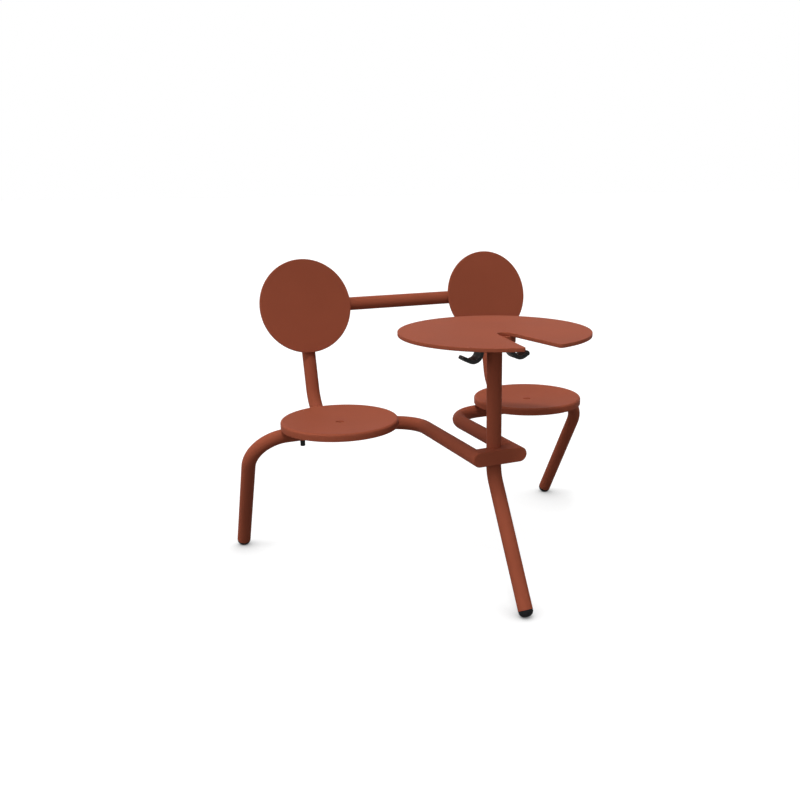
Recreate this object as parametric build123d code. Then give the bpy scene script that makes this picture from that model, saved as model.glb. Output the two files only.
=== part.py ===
from build123d import *
import os
from math import atan2, cos, radians, sin, sqrt, tan

# Two-seat garden bench with a shared round table, on a tripod of bent steel tube.
# Millimetres. Seen from the front, +X is to the right, +Y to the rear and +Z up.
# The origin is on the floor, under the middle of the outline.

# Tube stock and bends
TUBE_D = 42.4
TUBE_WALL = 3.0
BEND_R = 110.0
WELD_GAP = 0.2

# Table post, which bends forward into the front leg
POST_Y = -240.18
POST_BEND_Z = 360.0
LEG_RAKE = 29.5

# Seat tubes, which run back from the coupling, out under the seats and down into the rear legs
BRANCH_X = 62.5
RUN_Y = POST_Y + 437.4
RUN_Z = 418.0
LEG_TOP_X = 581.6
REAR_FOOT_X = 576.0
FOOT_TUBE_Z = 19.5

# Coupling block
COUPLING_FRONT_Y = POST_Y - 41.5
COUPLING_DEPTH = 38.5
COUPLING_EDGE_R = 2.5
COUPLING_BOLT_D = 8.0
COUPLING_BOLT_RISE = 10.5
COUPLING_BOLT_REACH = 33.0
COUPLING_HEAD_D = 14.0
COUPLING_HEAD_H = 4.5
BOLT_HOLE_GAP = 0.3

# Round dished seats
SEAT_X = 323.5
SEAT_Y = POST_Y + 375.8
SEAT_TOP = 468.2
SEAT_D = 350.4
SEAT_DEPTH = 22.5
SEAT_DISH = 10.0
SEAT_SHEET = 3.0
SEAT_EDGE_R = 7.0
DRAIN_D = 9.0
RECESS_D = 25.0
RECESS_DEPTH = 3.3
RECESS_DRAFT = 1.0
RIB_WIDTH = 44.0
RIB_LENGTH = 264.0
RIB_FRONT_REACH = 118.0
RIB_DRAIN_D = 32.0

# Round backrests on their bent tube
BACK_BEND_Y = POST_Y + 624.8
BACK_TOP_Y = POST_Y + 697.9
BACK_TOP_Z = 760.9
BACK_D = 295.6
BACK_THICK = 6.0
BACK_EDGE_R = 1.8
BACK_GAP = 4.2

# Studs that hold seats and backrests to the tubes
SEAT_STUD_SPACING = 200.0
BACK_STUD_ARM = 125.0
STUD_D = 6.0
STUD_HOLE_D = 6.6
STUD_TAIL = 9.0
NUT_FLATS = 10.0
NUT_H = 5.0
CAP_D = 15.0
CAP_LENGTH = 17.0
CAP_CAVITY_D = 12.2
CAP_CAVITY_DEPTH = 12.0
CAP_EDGE_R = 1.5
CAP_WRAP = 1.6
SEAT_SADDLE_LENGTH = 40.0
BACK_SADDLE_LENGTH = 28.0
SADDLE_WIDTH = 44.0
SADDLE_WRAP = 10.0

# Table and its flange
TABLE_TOP = 766.5
TABLE_D = 524.8
TABLE_THICK = 10.2
TABLE_TOP_EDGE_R = 1.5
TABLE_LOWER_EDGE_R = 1.5
NOTCH_END_R = 21.0
NOTCH_END_OFFSET = 59.0
NOTCH_HALF_ANGLE = 8.0
NOTCH_CORNER_R = 8.0
FLANGE_D = 114.3
FLANGE_DEPTH = 20.0
FLANGE_WALL = 3.0
FLANGE_PLATE = 5.0
TABLE_SCREW_D = 6.0
TABLE_SCREW_OFFSET = 27.0
TABLE_SCREW_BITE = 7.0
TABLE_SCREW_HEAD_D = 11.0
TABLE_SCREW_HEAD_H = 3.6

# Bag hooks
HOOK_WIDTH = 40.0
HOOK_BASE_X = 24.5
HOOK_BASE_THICK = 8.0
HOOK_BACK_X = 41.9
HOOK_NECK_Z = 735.5
HOOK_SWELL_Z = 730.5
HOOK_THICK = 11.0
HOOK_SHANK_END_Z = 713.0
HOOK_BEND_R = 30.0
HOOK_SHOULDER_R = 10.0
HOOK_SWELL_R = 4.0
HOOK_CORNER_R = 2.0
HOOK_TONGUE_ANGLE = 30.0
HOOK_TONGUE = 20.0
HOOK_TIP_R = 9.0
HOOK_SCREW_D = 5.0
HOOK_SCREW_X = 35.0
HOOK_SCREW_Y = 10.0
HOOK_SCREW_HEAD_D = 9.0
HOOK_SCREW_HEAD_H = 2.8

# Domed rubber feet
FOOT_COLLAR = 2.0
FOOT_ROUND_R = 17.0
FOOT_PLUG = 22.0
FOOT_PLUG_GAP = 0.1

# Worked out from the driving dimensions
TUBE_R = TUBE_D / 2
BORE_R = TUBE_R - TUBE_WALL
RAKE_RUN = tan(radians(LEG_RAKE))
COUPLING_REAR_Y = COUPLING_FRONT_Y + COUPLING_DEPTH
SEAT_UNDERSIDE = SEAT_TOP - SEAT_DEPTH
SEAT_GAP = SEAT_UNDERSIDE - RUN_Z - TUBE_R
TABLE_UNDERSIDE = TABLE_TOP - TABLE_THICK
FLANGE_LEDGE = TABLE_UNDERSIDE - FLANGE_PLATE
REAR_FOOT_Y = RUN_Y + RUN_Z * RAKE_RUN
FRONT_FOOT_Y = POST_Y - POST_BEND_Z * RAKE_RUN
RECLINE = atan2(BACK_TOP_Y - BACK_BEND_Y, BACK_TOP_Z - RUN_Z)
BACK_FACE = Vector(0, -cos(RECLINE), sin(RECLINE))

# Length of cutting shapes that only have to reach well past what they cut, and the
# tolerance for picking out edges by their size and place
LARGE = 200.0
PICK_TOLERANCE = 0.01


def save(node, shape):
    """Write one piece, or one group of like pieces, to its own file."""
    export_step(shape, f"parts/{node}.step")


def on_left(shape):
    """The same piece on the other side of the bench."""
    return mirror(shape, about=Plane.YZ)


def both_sides(shapes):
    """A group of like pieces, with the same ones on the other side."""
    solids = []
    for shape in shapes:
        solids.extend(shape.solids())
        solids.extend(on_left(shape).solids())
    return Compound(solids)


def tube(*points):
    """Round tube bent at each inner point, with its ends cut square."""
    path = FilletPolyline(*points, radius=BEND_R)
    ring = Circle(TUBE_R) - Circle(BORE_R)
    section = Plane(origin=path @ 0, z_dir=path % 0) * ring
    return sweep(section, path=path)


def leg_end(top, floor_point):
    """Point of a raked leg's axis where its tube stops above the rubber foot."""
    share = FOOT_TUBE_Z / top[2]
    return tuple(low + (high - low) * share for low, high in zip(floor_point, top))


# Tube routes, for the right side where the bench is symmetrical
POST_TOP = (0, POST_Y, FLANGE_LEDGE)
POST_BEND = (0, POST_Y, POST_BEND_Z)
FRONT_TUBE_END = leg_end(POST_BEND, (0, FRONT_FOOT_Y, 0))
LEG_BEND = (LEG_TOP_X, RUN_Y, RUN_Z)
REAR_TUBE_END = leg_end(LEG_BEND, (REAR_FOOT_X, REAR_FOOT_Y, 0))
SEAT_STUD_XS = (SEAT_X - SEAT_STUD_SPACING / 2, SEAT_X + SEAT_STUD_SPACING / 2)

# Places of the fastenings. Each has its tube along X and what it holds towards +Z.
SEAT_FASTENINGS = [Pos(x, RUN_Y, RUN_Z) for x in SEAT_STUD_XS]
BACK_PLANE = Plane(origin=(SEAT_X, BACK_TOP_Y, BACK_TOP_Z), x_dir=(1, 0, 0), z_dir=BACK_FACE)
BACK_FASTENINGS = [
    BACK_PLANE * Pos(-BACK_STUD_ARM, 0, 0),
    BACK_PLANE * Pos(0, -BACK_STUD_ARM, 0) * Rot(0, 0, 90),
]


def tube_space():
    """The straight tube that a fastening sits on, as a solid rod."""
    return Rot(0, 90, 0) * Cylinder(TUBE_R, LARGE)


def stud_hole():
    """Clearance for a stud right through a tube."""
    return Cylinder(STUD_HOLE_D / 2, LARGE)


def saddle(length, gap):
    """Spacer that sits astride a tube and fills the gap up to what it carries."""
    height = SADDLE_WRAP + gap
    block = Box(length, SADDLE_WIDTH, height)
    block = Pos(0, 0, TUBE_R + gap - height / 2) * block
    return block - tube_space() - stud_hole()


def stud(gap):
    """Stud from the carried piece through saddle and tube to the nut."""
    top = TUBE_R + gap
    bottom = -TUBE_R - STUD_TAIL
    return Pos(0, 0, (top + bottom) / 2) * Cylinder(STUD_D / 2, top - bottom)


def stud_nut():
    """Hexagon nut against the far side of the tube."""
    hexagon = RegularPolygon(NUT_FLATS / 2, 6, major_radius=False)
    outline = hexagon - Circle(STUD_D / 2)
    return Pos(0, 0, -TUBE_R - NUT_H) * extrude(outline, NUT_H)


def nut_cap():
    """Round plastic cap over the nut, shaped to the tube at its open end."""
    end = -TUBE_R - CAP_LENGTH
    height = CAP_LENGTH + CAP_WRAP
    body = Pos(0, 0, end + height / 2) * Cylinder(CAP_D / 2, height)
    body = fillet(body.edges().group_by(Axis.Z)[0], CAP_EDGE_R)
    cavity_height = CAP_CAVITY_DEPTH + CAP_WRAP
    cavity_bottom = -TUBE_R - CAP_CAVITY_DEPTH
    cavity = Cylinder(CAP_CAVITY_D / 2, cavity_height)
    cavity = Pos(0, 0, cavity_bottom + cavity_height / 2) * cavity
    return body - cavity - tube_space()


def seat_tube():
    """Right seat tube: branch from the coupling, run under the seat, rear leg."""
    branch_end = (BRANCH_X, COUPLING_REAR_Y, RUN_Z)
    branch_bend = (BRANCH_X, RUN_Y, RUN_Z)
    piece = tube(branch_end, branch_bend, LEG_BEND, REAR_TUBE_END)
    for place in SEAT_FASTENINGS:
        piece -= place * stud_hole()
    return piece


def backrest_tube():
    """Tube that leaves both seat tubes to the rear, rises and crosses behind the backrests."""
    right = [
        (SEAT_X, RUN_Y, RUN_Z),
        (SEAT_X, BACK_BEND_Y, RUN_Z),
        (SEAT_X, BACK_TOP_Y, BACK_TOP_Z),
    ]
    left = [(-x, y, z) for x, y, z in reversed(right)]
    piece = tube(*right, *left)
    seat_run = Rot(0, 90, 0) * Cylinder(TUBE_R + WELD_GAP, 2 * LEG_TOP_X)
    piece -= Pos(0, RUN_Y, RUN_Z) * seat_run
    for place in BACK_FASTENINGS:
        hole = place * stud_hole()
        piece -= hole
        piece -= on_left(hole)
    return piece


def coupling_bolt(rise):
    """Button-headed bolt from behind the post into the coupling block."""
    back = POST_Y + TUBE_R
    axis_plane = Plane(origin=(0, back, RUN_Z + rise), z_dir=(0, 1, 0))
    shank = extrude(Circle(COUPLING_BOLT_D / 2), -(TUBE_R + COUPLING_BOLT_REACH))
    head = extrude(Circle(COUPLING_HEAD_D / 2), COUPLING_HEAD_H)
    head = fillet(head.edges().group_by(Axis.Z)[-1], COUPLING_HEAD_H / 2)
    return axis_plane * (shank + head)


def coupling_bolt_hole(rise, diameter):
    """Hole for one coupling bolt, from its tip to well behind the post."""
    tip = POST_Y - COUPLING_BOLT_REACH
    axis_plane = Plane(origin=(0, tip, RUN_Z + rise), z_dir=(0, 1, 0))
    return axis_plane * extrude(Circle(diameter / 2), LARGE)


COUPLING_BOLT_RISES = (-COUPLING_BOLT_RISE, COUPLING_BOLT_RISE)


def table_post():
    """Post from the flange down through the coupling, bent forward into the front leg."""
    piece = tube(POST_TOP, POST_BEND, FRONT_TUBE_END)
    for rise in COUPLING_BOLT_RISES:
        piece -= coupling_bolt_hole(rise, COUPLING_BOLT_D + 2 * BOLT_HOLE_GAP)
    return piece


def coupling_block():
    """Obround block that closes both branch tubes and holds the post in a half-round saddle."""
    front = Plane(origin=(0, COUPLING_REAR_Y, RUN_Z), x_dir=(1, 0, 0), z_dir=(0, -1, 0))
    block = extrude(front * SlotCenterToCenter(2 * BRANCH_X, TUBE_D), COUPLING_DEPTH)
    block = fillet(block.faces().sort_by(Axis.Y)[0].edges(), COUPLING_EDGE_R)
    block -= Pos(0, POST_Y, RUN_Z) * Cylinder(TUBE_R, 2 * TUBE_D)
    for rise in COUPLING_BOLT_RISES:
        block -= coupling_bolt_hole(rise, COUPLING_BOLT_D)
    return block


# The dish of a seat is part of a sphere, so its underside is part of a larger one.
SEAT_RIM_R = SEAT_D / 2
SEAT_LIP_R = SEAT_RIM_R - SEAT_EDGE_R
DISH_R = (SEAT_LIP_R**2 + SEAT_DISH**2) / (2 * SEAT_DISH)
DISH_CENTRE_Z = SEAT_TOP - SEAT_DISH + DISH_R


def dish_point(radius, depth):
    """Point of the dish's section at a radius, at a depth below its upper face."""
    sphere = DISH_R + depth
    return (radius, DISH_CENTRE_Z - sqrt(sphere**2 - radius**2))


def dish_arc(start, end, depth):
    """Arc of the dish's section between two radii."""
    middle = (start + end) / 2
    return ThreePointArc(*[dish_point(radius, depth) for radius in (start, middle, end)])


def seat_pan():
    """Dished sheet seat with a turned-down rim and a drain hole in a pressed recess."""
    drain_r = DRAIN_D / 2
    recess_r = RECESS_D / 2
    floor_r = recess_r - RECESS_DRAFT
    inner_r = SEAT_RIM_R - SEAT_SHEET
    edge_z = SEAT_TOP - SEAT_EDGE_R
    edge = RadiusArc((SEAT_RIM_R, edge_z), (SEAT_LIP_R, SEAT_TOP), -SEAT_EDGE_R)
    upper = dish_arc(SEAT_LIP_R, recess_r, 0)
    lower = dish_arc(recess_r + SEAT_SHEET, SEAT_LIP_R, SEAT_SHEET)
    inner_edge = RadiusArc(lower @ 1, (inner_r, edge_z), SEAT_EDGE_R - SEAT_SHEET)
    floor_z = (upper @ 1).Y - RECESS_DEPTH
    recess = Polyline(
        upper @ 1,
        (floor_r, floor_z),
        (drain_r, floor_z),
        (drain_r, floor_z - SEAT_SHEET),
        (floor_r + SEAT_SHEET, floor_z - SEAT_SHEET),
        lower @ 0,
    )
    rim = Polyline(inner_edge @ 1, (inner_r, SEAT_UNDERSIDE), (SEAT_RIM_R, SEAT_UNDERSIDE), edge @ 0)
    section = [edge, upper, *recess.edges(), lower, inner_edge, *rim.edges()]
    pan = revolve(Plane.XZ * make_face(section), axis=Axis.Z)
    return Pos(SEAT_X, SEAT_Y, 0) * pan


def seat_rib():
    """T-shaped rib that fills the pan's depth above the tube and forward of it."""
    reach = SEAT_RIM_R - 2 * SEAT_SHEET
    crown = dish_arc(reach, 0, SEAT_SHEET)
    section = [
        Line((0, SEAT_UNDERSIDE), (reach, SEAT_UNDERSIDE)),
        Line((reach, SEAT_UNDERSIDE), crown @ 0),
        crown,
        Line(crown @ 1, (0, SEAT_UNDERSIDE)),
    ]
    pan_space = revolve(Plane.XZ * make_face(section), axis=Axis.Z)
    behind = RUN_Y - SEAT_Y
    length = behind + RIB_FRONT_REACH
    along_tube = Pos(0, behind) * Rectangle(RIB_LENGTH, RIB_WIDTH)
    forward = Pos(0, behind - length / 2) * Rectangle(RIB_WIDTH, length)
    outline = along_tube + forward - Circle(RIB_DRAIN_D / 2)
    bars = Pos(0, 0, SEAT_UNDERSIDE) * extrude(outline, SEAT_DEPTH)
    return Pos(SEAT_X, SEAT_Y, 0) * (bars & pan_space)


def backrest():
    """Flat round backrest with softened edges."""
    disc = Cylinder(BACK_D / 2, BACK_THICK)
    disc = fillet(disc.edges(), BACK_EDGE_R)
    return BACK_PLANE * Pos(0, 0, TUBE_R + BACK_GAP + BACK_THICK / 2) * disc


def tabletop():
    """Round plate with a tapered notch from its front edge almost to the post."""
    angle = radians(NOTCH_HALF_ANGLE)
    side_x = NOTCH_END_R * cos(angle)
    side_y = -NOTCH_END_OFFSET + NOTCH_END_R * sin(angle)
    mouth_y = -TABLE_D
    mouth_x = side_x + (side_y - mouth_y) * tan(angle)
    taper = Polygon(
        (side_x, side_y), (-side_x, side_y), (-mouth_x, mouth_y), (mouth_x, mouth_y), align=None
    )
    notch = taper + Pos(0, -NOTCH_END_OFFSET) * Circle(NOTCH_END_R)
    plate = extrude(Circle(TABLE_D / 2) - notch, TABLE_THICK)
    upright_edges = plate.edges().filter_by(Axis.Z)
    plate = fillet(upright_edges.group_by(Axis.Y)[0], NOTCH_CORNER_R)
    plate = fillet(plate.faces().sort_by(Axis.Z)[-1].edges(), TABLE_TOP_EDGE_R)
    plate = fillet(plate.faces().sort_by(Axis.Z)[0].edges(), TABLE_LOWER_EDGE_R)
    plate = Pos(0, POST_Y, TABLE_UNDERSIDE) * plate
    for place in TABLE_SCREWS:
        plate -= place * extrude(Circle(TABLE_SCREW_D / 2), FLANGE_PLATE + TABLE_SCREW_BITE)
    return plate


# Screw places under the flange plate, each with its shank towards +Z
TABLE_SCREWS = [
    Pos(x, POST_Y + y, FLANGE_LEDGE)
    for x in (-TABLE_SCREW_OFFSET, TABLE_SCREW_OFFSET)
    for y in (-TABLE_SCREW_OFFSET, TABLE_SCREW_OFFSET)
]
HOOK_SCREWS = [
    Pos(x, POST_Y + y, FLANGE_LEDGE)
    for x in (-HOOK_SCREW_X, HOOK_SCREW_X)
    for y in (-HOOK_SCREW_Y, HOOK_SCREW_Y)
]


def table_flange():
    """Flange plate with a skirt, open below, that carries the table on the post."""
    outer = extrude(Circle(FLANGE_D / 2), FLANGE_DEPTH)
    hollow = extrude(Circle(FLANGE_D / 2 - FLANGE_WALL), FLANGE_DEPTH - FLANGE_PLATE)
    flange = Pos(0, POST_Y, TABLE_UNDERSIDE - FLANGE_DEPTH) * (outer - hollow)
    for place in TABLE_SCREWS:
        flange -= place * extrude(Circle(TABLE_SCREW_D / 2), FLANGE_PLATE)
    for place in HOOK_SCREWS:
        flange -= place * extrude(Circle(HOOK_SCREW_D / 2), FLANGE_PLATE)
    return flange


def pan_head_screw(shank_d, shank_length, head_d, head_h):
    """Screw with its shank towards +Z and a rounded head below the seat at Z = 0."""
    shank = extrude(Circle(shank_d / 2), shank_length)
    head = extrude(Circle(head_d / 2), -head_h)
    head = fillet(head.edges().group_by(Axis.Z)[0], head_h / 2)
    return shank + head


def bag_hook():
    """Right bag hook: base under the flange plate, shank, round bend and rising tongue."""
    neck_x = HOOK_BACK_X + HOOK_BASE_THICK
    mouth_x = HOOK_BACK_X + HOOK_THICK
    base_z = FLANGE_LEDGE - HOOK_BASE_THICK
    down = (0, -1)
    bend = 90 + HOOK_TONGUE_ANGLE
    front = FilletPolyline(
        (HOOK_BASE_X, FLANGE_LEDGE),
        (neck_x, FLANGE_LEDGE),
        (neck_x, HOOK_NECK_Z),
        (mouth_x, HOOK_SWELL_Z),
        (mouth_x, HOOK_SHANK_END_Z),
        radius=[HOOK_SHOULDER_R, HOOK_SWELL_R, HOOK_SWELL_R],
    )
    back = FilletPolyline(
        (HOOK_BASE_X, base_z),
        (HOOK_BACK_X, base_z),
        (HOOK_BACK_X, HOOK_SHANK_END_Z),
        radius=HOOK_CORNER_R,
    )
    inner_bend = JernArc(front @ 1, down, HOOK_BEND_R - HOOK_THICK, bend)
    outer_bend = JernArc(back @ 1, down, HOOK_BEND_R, bend)
    tongue_top = PolarLine(inner_bend @ 1, HOOK_TONGUE, HOOK_TONGUE_ANGLE)
    tongue_base = PolarLine(outer_bend @ 1, HOOK_TONGUE, HOOK_TONGUE_ANGLE)
    outline = [
        *front.edges(),
        inner_bend.edge(),
        tongue_top.edge(),
        Line(tongue_top @ 1, tongue_base @ 1),
        tongue_base.edge(),
        outer_bend.edge(),
        *back.edges(),
        Line(back @ 0, front @ 0),
    ]
    strip = extrude(Plane.XZ * make_face(outline), HOOK_WIDTH / 2, both=True)
    turn = radians(HOOK_TONGUE_ANGLE)
    tip = Vector(cos(turn), 0, sin(turn))
    tip_face = strip.faces().sort_by(lambda face: face.center().dot(tip))[-1]
    corners = [edge for edge in strip.edges() if is_tip_corner(edge, tip_face)]
    strip = fillet(corners, HOOK_TIP_R)
    hook = Pos(0, POST_Y, 0) * strip
    for place in HOOK_SCREWS:
        hook -= place * extrude(Circle(HOOK_SCREW_D / 2), -HOOK_BASE_THICK)
    return hook


def is_tip_corner(edge, tip_face):
    """True for the two short edges at the outer corners of a hook's tip."""
    short = abs(edge.length - HOOK_THICK) < PICK_TOLERANCE
    return short and tip_face.distance_to(edge.center()) < PICK_TOLERANCE


def foot(tube_end, tube_bend):
    """Domed rubber foot plugged into a raked tube, flat where it meets the floor."""
    outward = (Vector(*tube_end) - Vector(*tube_bend)).normalized()
    plug_r = BORE_R - FOOT_PLUG_GAP
    flat_r = TUBE_R - FOOT_ROUND_R
    length = FOOT_COLLAR + FOOT_ROUND_R
    dome = RadiusArc((TUBE_R, FOOT_COLLAR), (flat_r, length), -FOOT_ROUND_R)
    section = [
        Line((0, -FOOT_PLUG), (plug_r, -FOOT_PLUG)),
        Line((plug_r, -FOOT_PLUG), (plug_r, 0)),
        Line((plug_r, 0), (TUBE_R, 0)),
        Line((TUBE_R, 0), (TUBE_R, FOOT_COLLAR)),
        dome,
        Line((flat_r, length), (0, length)),
        Line((0, length), (0, -FOOT_PLUG)),
    ]
    body = revolve(Plane.XZ * make_face(section), axis=Axis.Z)
    body = Plane(origin=tube_end, z_dir=outward) * body
    floor = Pos(tube_end[0], tube_end[1], -LARGE / 2) * Box(LARGE, LARGE, LARGE)
    return body - floor


os.makedirs("parts", exist_ok=True)

# Frame
RIGHT_SEAT_TUBE = seat_tube()
save("right_seat_tube", RIGHT_SEAT_TUBE)
save("left_seat_tube", on_left(RIGHT_SEAT_TUBE))
save("backrest_tube", backrest_tube())
save("table_post", table_post())
save("coupling_block", coupling_block())
save("coupling_bolts", Compound([coupling_bolt(rise).solid() for rise in COUPLING_BOLT_RISES]))

# Seats
RIGHT_SEAT = seat_pan()
save("right_seat", RIGHT_SEAT)
save("left_seat", on_left(RIGHT_SEAT))
RIGHT_RIB = seat_rib()
save("right_seat_rib", RIGHT_RIB)
save("left_seat_rib", on_left(RIGHT_RIB))
SEAT_SADDLE = saddle(SEAT_SADDLE_LENGTH, SEAT_GAP)
SEAT_SADDLES = Compound([(place * SEAT_SADDLE).solid() for place in SEAT_FASTENINGS])
save("right_seat_saddles", SEAT_SADDLES)
save("left_seat_saddles", on_left(SEAT_SADDLES))
save("seat_studs", both_sides([place * stud(SEAT_GAP) for place in SEAT_FASTENINGS]))
save("seat_nuts", both_sides([place * stud_nut() for place in SEAT_FASTENINGS]))
save("seat_nut_caps", both_sides([place * nut_cap() for place in SEAT_FASTENINGS]))

# Backrests
RIGHT_BACKREST = backrest()
save("right_backrest", RIGHT_BACKREST)
save("left_backrest", on_left(RIGHT_BACKREST))
BACK_SADDLE = saddle(BACK_SADDLE_LENGTH, BACK_GAP)
BACK_SADDLES = Compound([(place * BACK_SADDLE).solid() for place in BACK_FASTENINGS])
save("right_backrest_saddles", BACK_SADDLES)
save("left_backrest_saddles", on_left(BACK_SADDLES))
save("backrest_studs", both_sides([place * stud(BACK_GAP) for place in BACK_FASTENINGS]))
save("backrest_nuts", both_sides([place * stud_nut() for place in BACK_FASTENINGS]))
save("backrest_nut_caps", both_sides([place * nut_cap() for place in BACK_FASTENINGS]))

# Table, flange and hooks
save("tabletop", tabletop())
save("table_flange", table_flange())
TABLE_SCREW = pan_head_screw(
    TABLE_SCREW_D, FLANGE_PLATE + TABLE_SCREW_BITE, TABLE_SCREW_HEAD_D, TABLE_SCREW_HEAD_H
)
save("table_screws", Compound([(place * TABLE_SCREW).solid() for place in TABLE_SCREWS]))
RIGHT_HOOK = bag_hook()
save("right_bag_hook", RIGHT_HOOK)
save("left_bag_hook", on_left(RIGHT_HOOK))
HOOK_SCREW = Pos(0, 0, -HOOK_BASE_THICK) * pan_head_screw(
    HOOK_SCREW_D, HOOK_BASE_THICK + FLANGE_PLATE, HOOK_SCREW_HEAD_D, HOOK_SCREW_HEAD_H
)
save("hook_screws", Compound([(place * HOOK_SCREW).solid() for place in HOOK_SCREWS]))

# Feet
RIGHT_FOOT = foot(REAR_TUBE_END, LEG_BEND)
save("front_foot", foot(FRONT_TUBE_END, POST_BEND))
save("right_foot", RIGHT_FOOT)
save("left_foot", on_left(RIGHT_FOOT))
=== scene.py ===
"""Looks of a garden bench with a shared round table.

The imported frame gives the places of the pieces. Each class below makes one sub-assembly of the
bench in metres, in the frame's own axes, and dresses it in procedural finishes.
"""

import logging
import math
from dataclasses import dataclass, field, replace
from enum import Enum
from typing import Any, Mapping, Sequence

import bmesh
import bpy
from mathutils import Matrix, Vector


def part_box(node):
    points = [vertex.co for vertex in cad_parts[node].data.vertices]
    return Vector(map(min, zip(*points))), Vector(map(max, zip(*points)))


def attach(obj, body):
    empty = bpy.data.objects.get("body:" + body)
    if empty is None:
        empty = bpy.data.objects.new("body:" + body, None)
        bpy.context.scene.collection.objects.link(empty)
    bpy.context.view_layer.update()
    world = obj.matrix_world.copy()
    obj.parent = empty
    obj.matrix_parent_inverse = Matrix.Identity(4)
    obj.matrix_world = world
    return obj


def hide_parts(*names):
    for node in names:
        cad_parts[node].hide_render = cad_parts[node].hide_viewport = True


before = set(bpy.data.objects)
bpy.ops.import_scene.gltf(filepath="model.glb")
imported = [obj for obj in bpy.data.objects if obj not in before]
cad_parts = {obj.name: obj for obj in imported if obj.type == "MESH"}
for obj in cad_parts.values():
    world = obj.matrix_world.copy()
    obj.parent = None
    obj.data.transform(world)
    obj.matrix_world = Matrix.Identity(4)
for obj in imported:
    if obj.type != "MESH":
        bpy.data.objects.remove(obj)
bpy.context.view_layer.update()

LOG = logging.getLogger("bench")
MM = 0.001
ROOT_BODY = "root"
# Name of the points' attribute of edge wear, which on the hooks also carries painted light.
WEAR_AND_LIGHT = "edge_wear"
FULL_TURN = 2 * math.pi
NOISE_MEAN = 0.5
X_AXIS = Vector((1, 0, 0))
Z_AXIS = Vector((0, 0, 1))

Colour = tuple[float, float, float]
Direction = tuple[float, float, float]
ProfilePoint = tuple[float, float, float]
FlatPoint = tuple[float, float]
Span = tuple[float, float]
Stance = tuple[Vector, Vector, Vector]


class Side(Enum):
    """The two halves of the bench, as the sign of X."""

    LEFT = -1
    RIGHT = 1

    @property
    def word(self) -> str:
        """The side's name as the frame's nodes spell it."""
        return self.name.lower()


class Slot(Enum):
    """Material slots of the record."""

    POWDER_COAT = "powder_coat"
    BLACK_PLASTIC = "black_plastic"
    BLACK_RUBBER = "black_rubber"
    ZINC_STEEL = "zinc_steel"


class Kind(Enum):
    """Kinds of inputs of a geometry tree."""

    SHAPE = "NodeSocketGeometry"
    NUMBER = "NodeSocketFloat"
    COUNT = "NodeSocketInt"
    MODEL = "NodeSocketObject"
    FINISH = "NodeSocketMaterial"


class Signal:
    """A node's output socket that can stand in a Python expression."""

    def __init__(self, board: "NodeBoard", socket: bpy.types.NodeSocket) -> None:
        """Wrap one output socket of a node on the board."""
        self.board = board
        self.socket = socket

    def __add__(self, other: Any) -> "Signal":
        """This value plus another."""
        return self.board.maths("ADD", self, other)

    __radd__ = __add__

    def __sub__(self, other: Any) -> "Signal":
        """This value less another."""
        return self.board.maths("SUBTRACT", self, other)

    def __rsub__(self, other: Any) -> "Signal":
        """Another value less this one."""
        return self.board.maths("SUBTRACT", other, self)

    def __mul__(self, other: Any) -> "Signal":
        """This value times another."""
        return self.board.maths("MULTIPLY", self, other)

    __rmul__ = __mul__

    def __truediv__(self, other: Any) -> "Signal":
        """This value divided by another."""
        return self.board.maths("DIVIDE", self, other)

    def __rtruediv__(self, other: Any) -> "Signal":
        """Another value divided by this one."""
        return self.board.maths("DIVIDE", other, self)

    def ramp(self, low: float, high: float) -> "Signal":
        """A smooth step from 0 at the low value to 1 at the high one."""
        sockets = {"Value": self, "From Min": low, "From Max": high}
        return self.board.node("ShaderNodeMapRange", {"interpolation_type": "SMOOTHSTEP"}, sockets)


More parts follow.
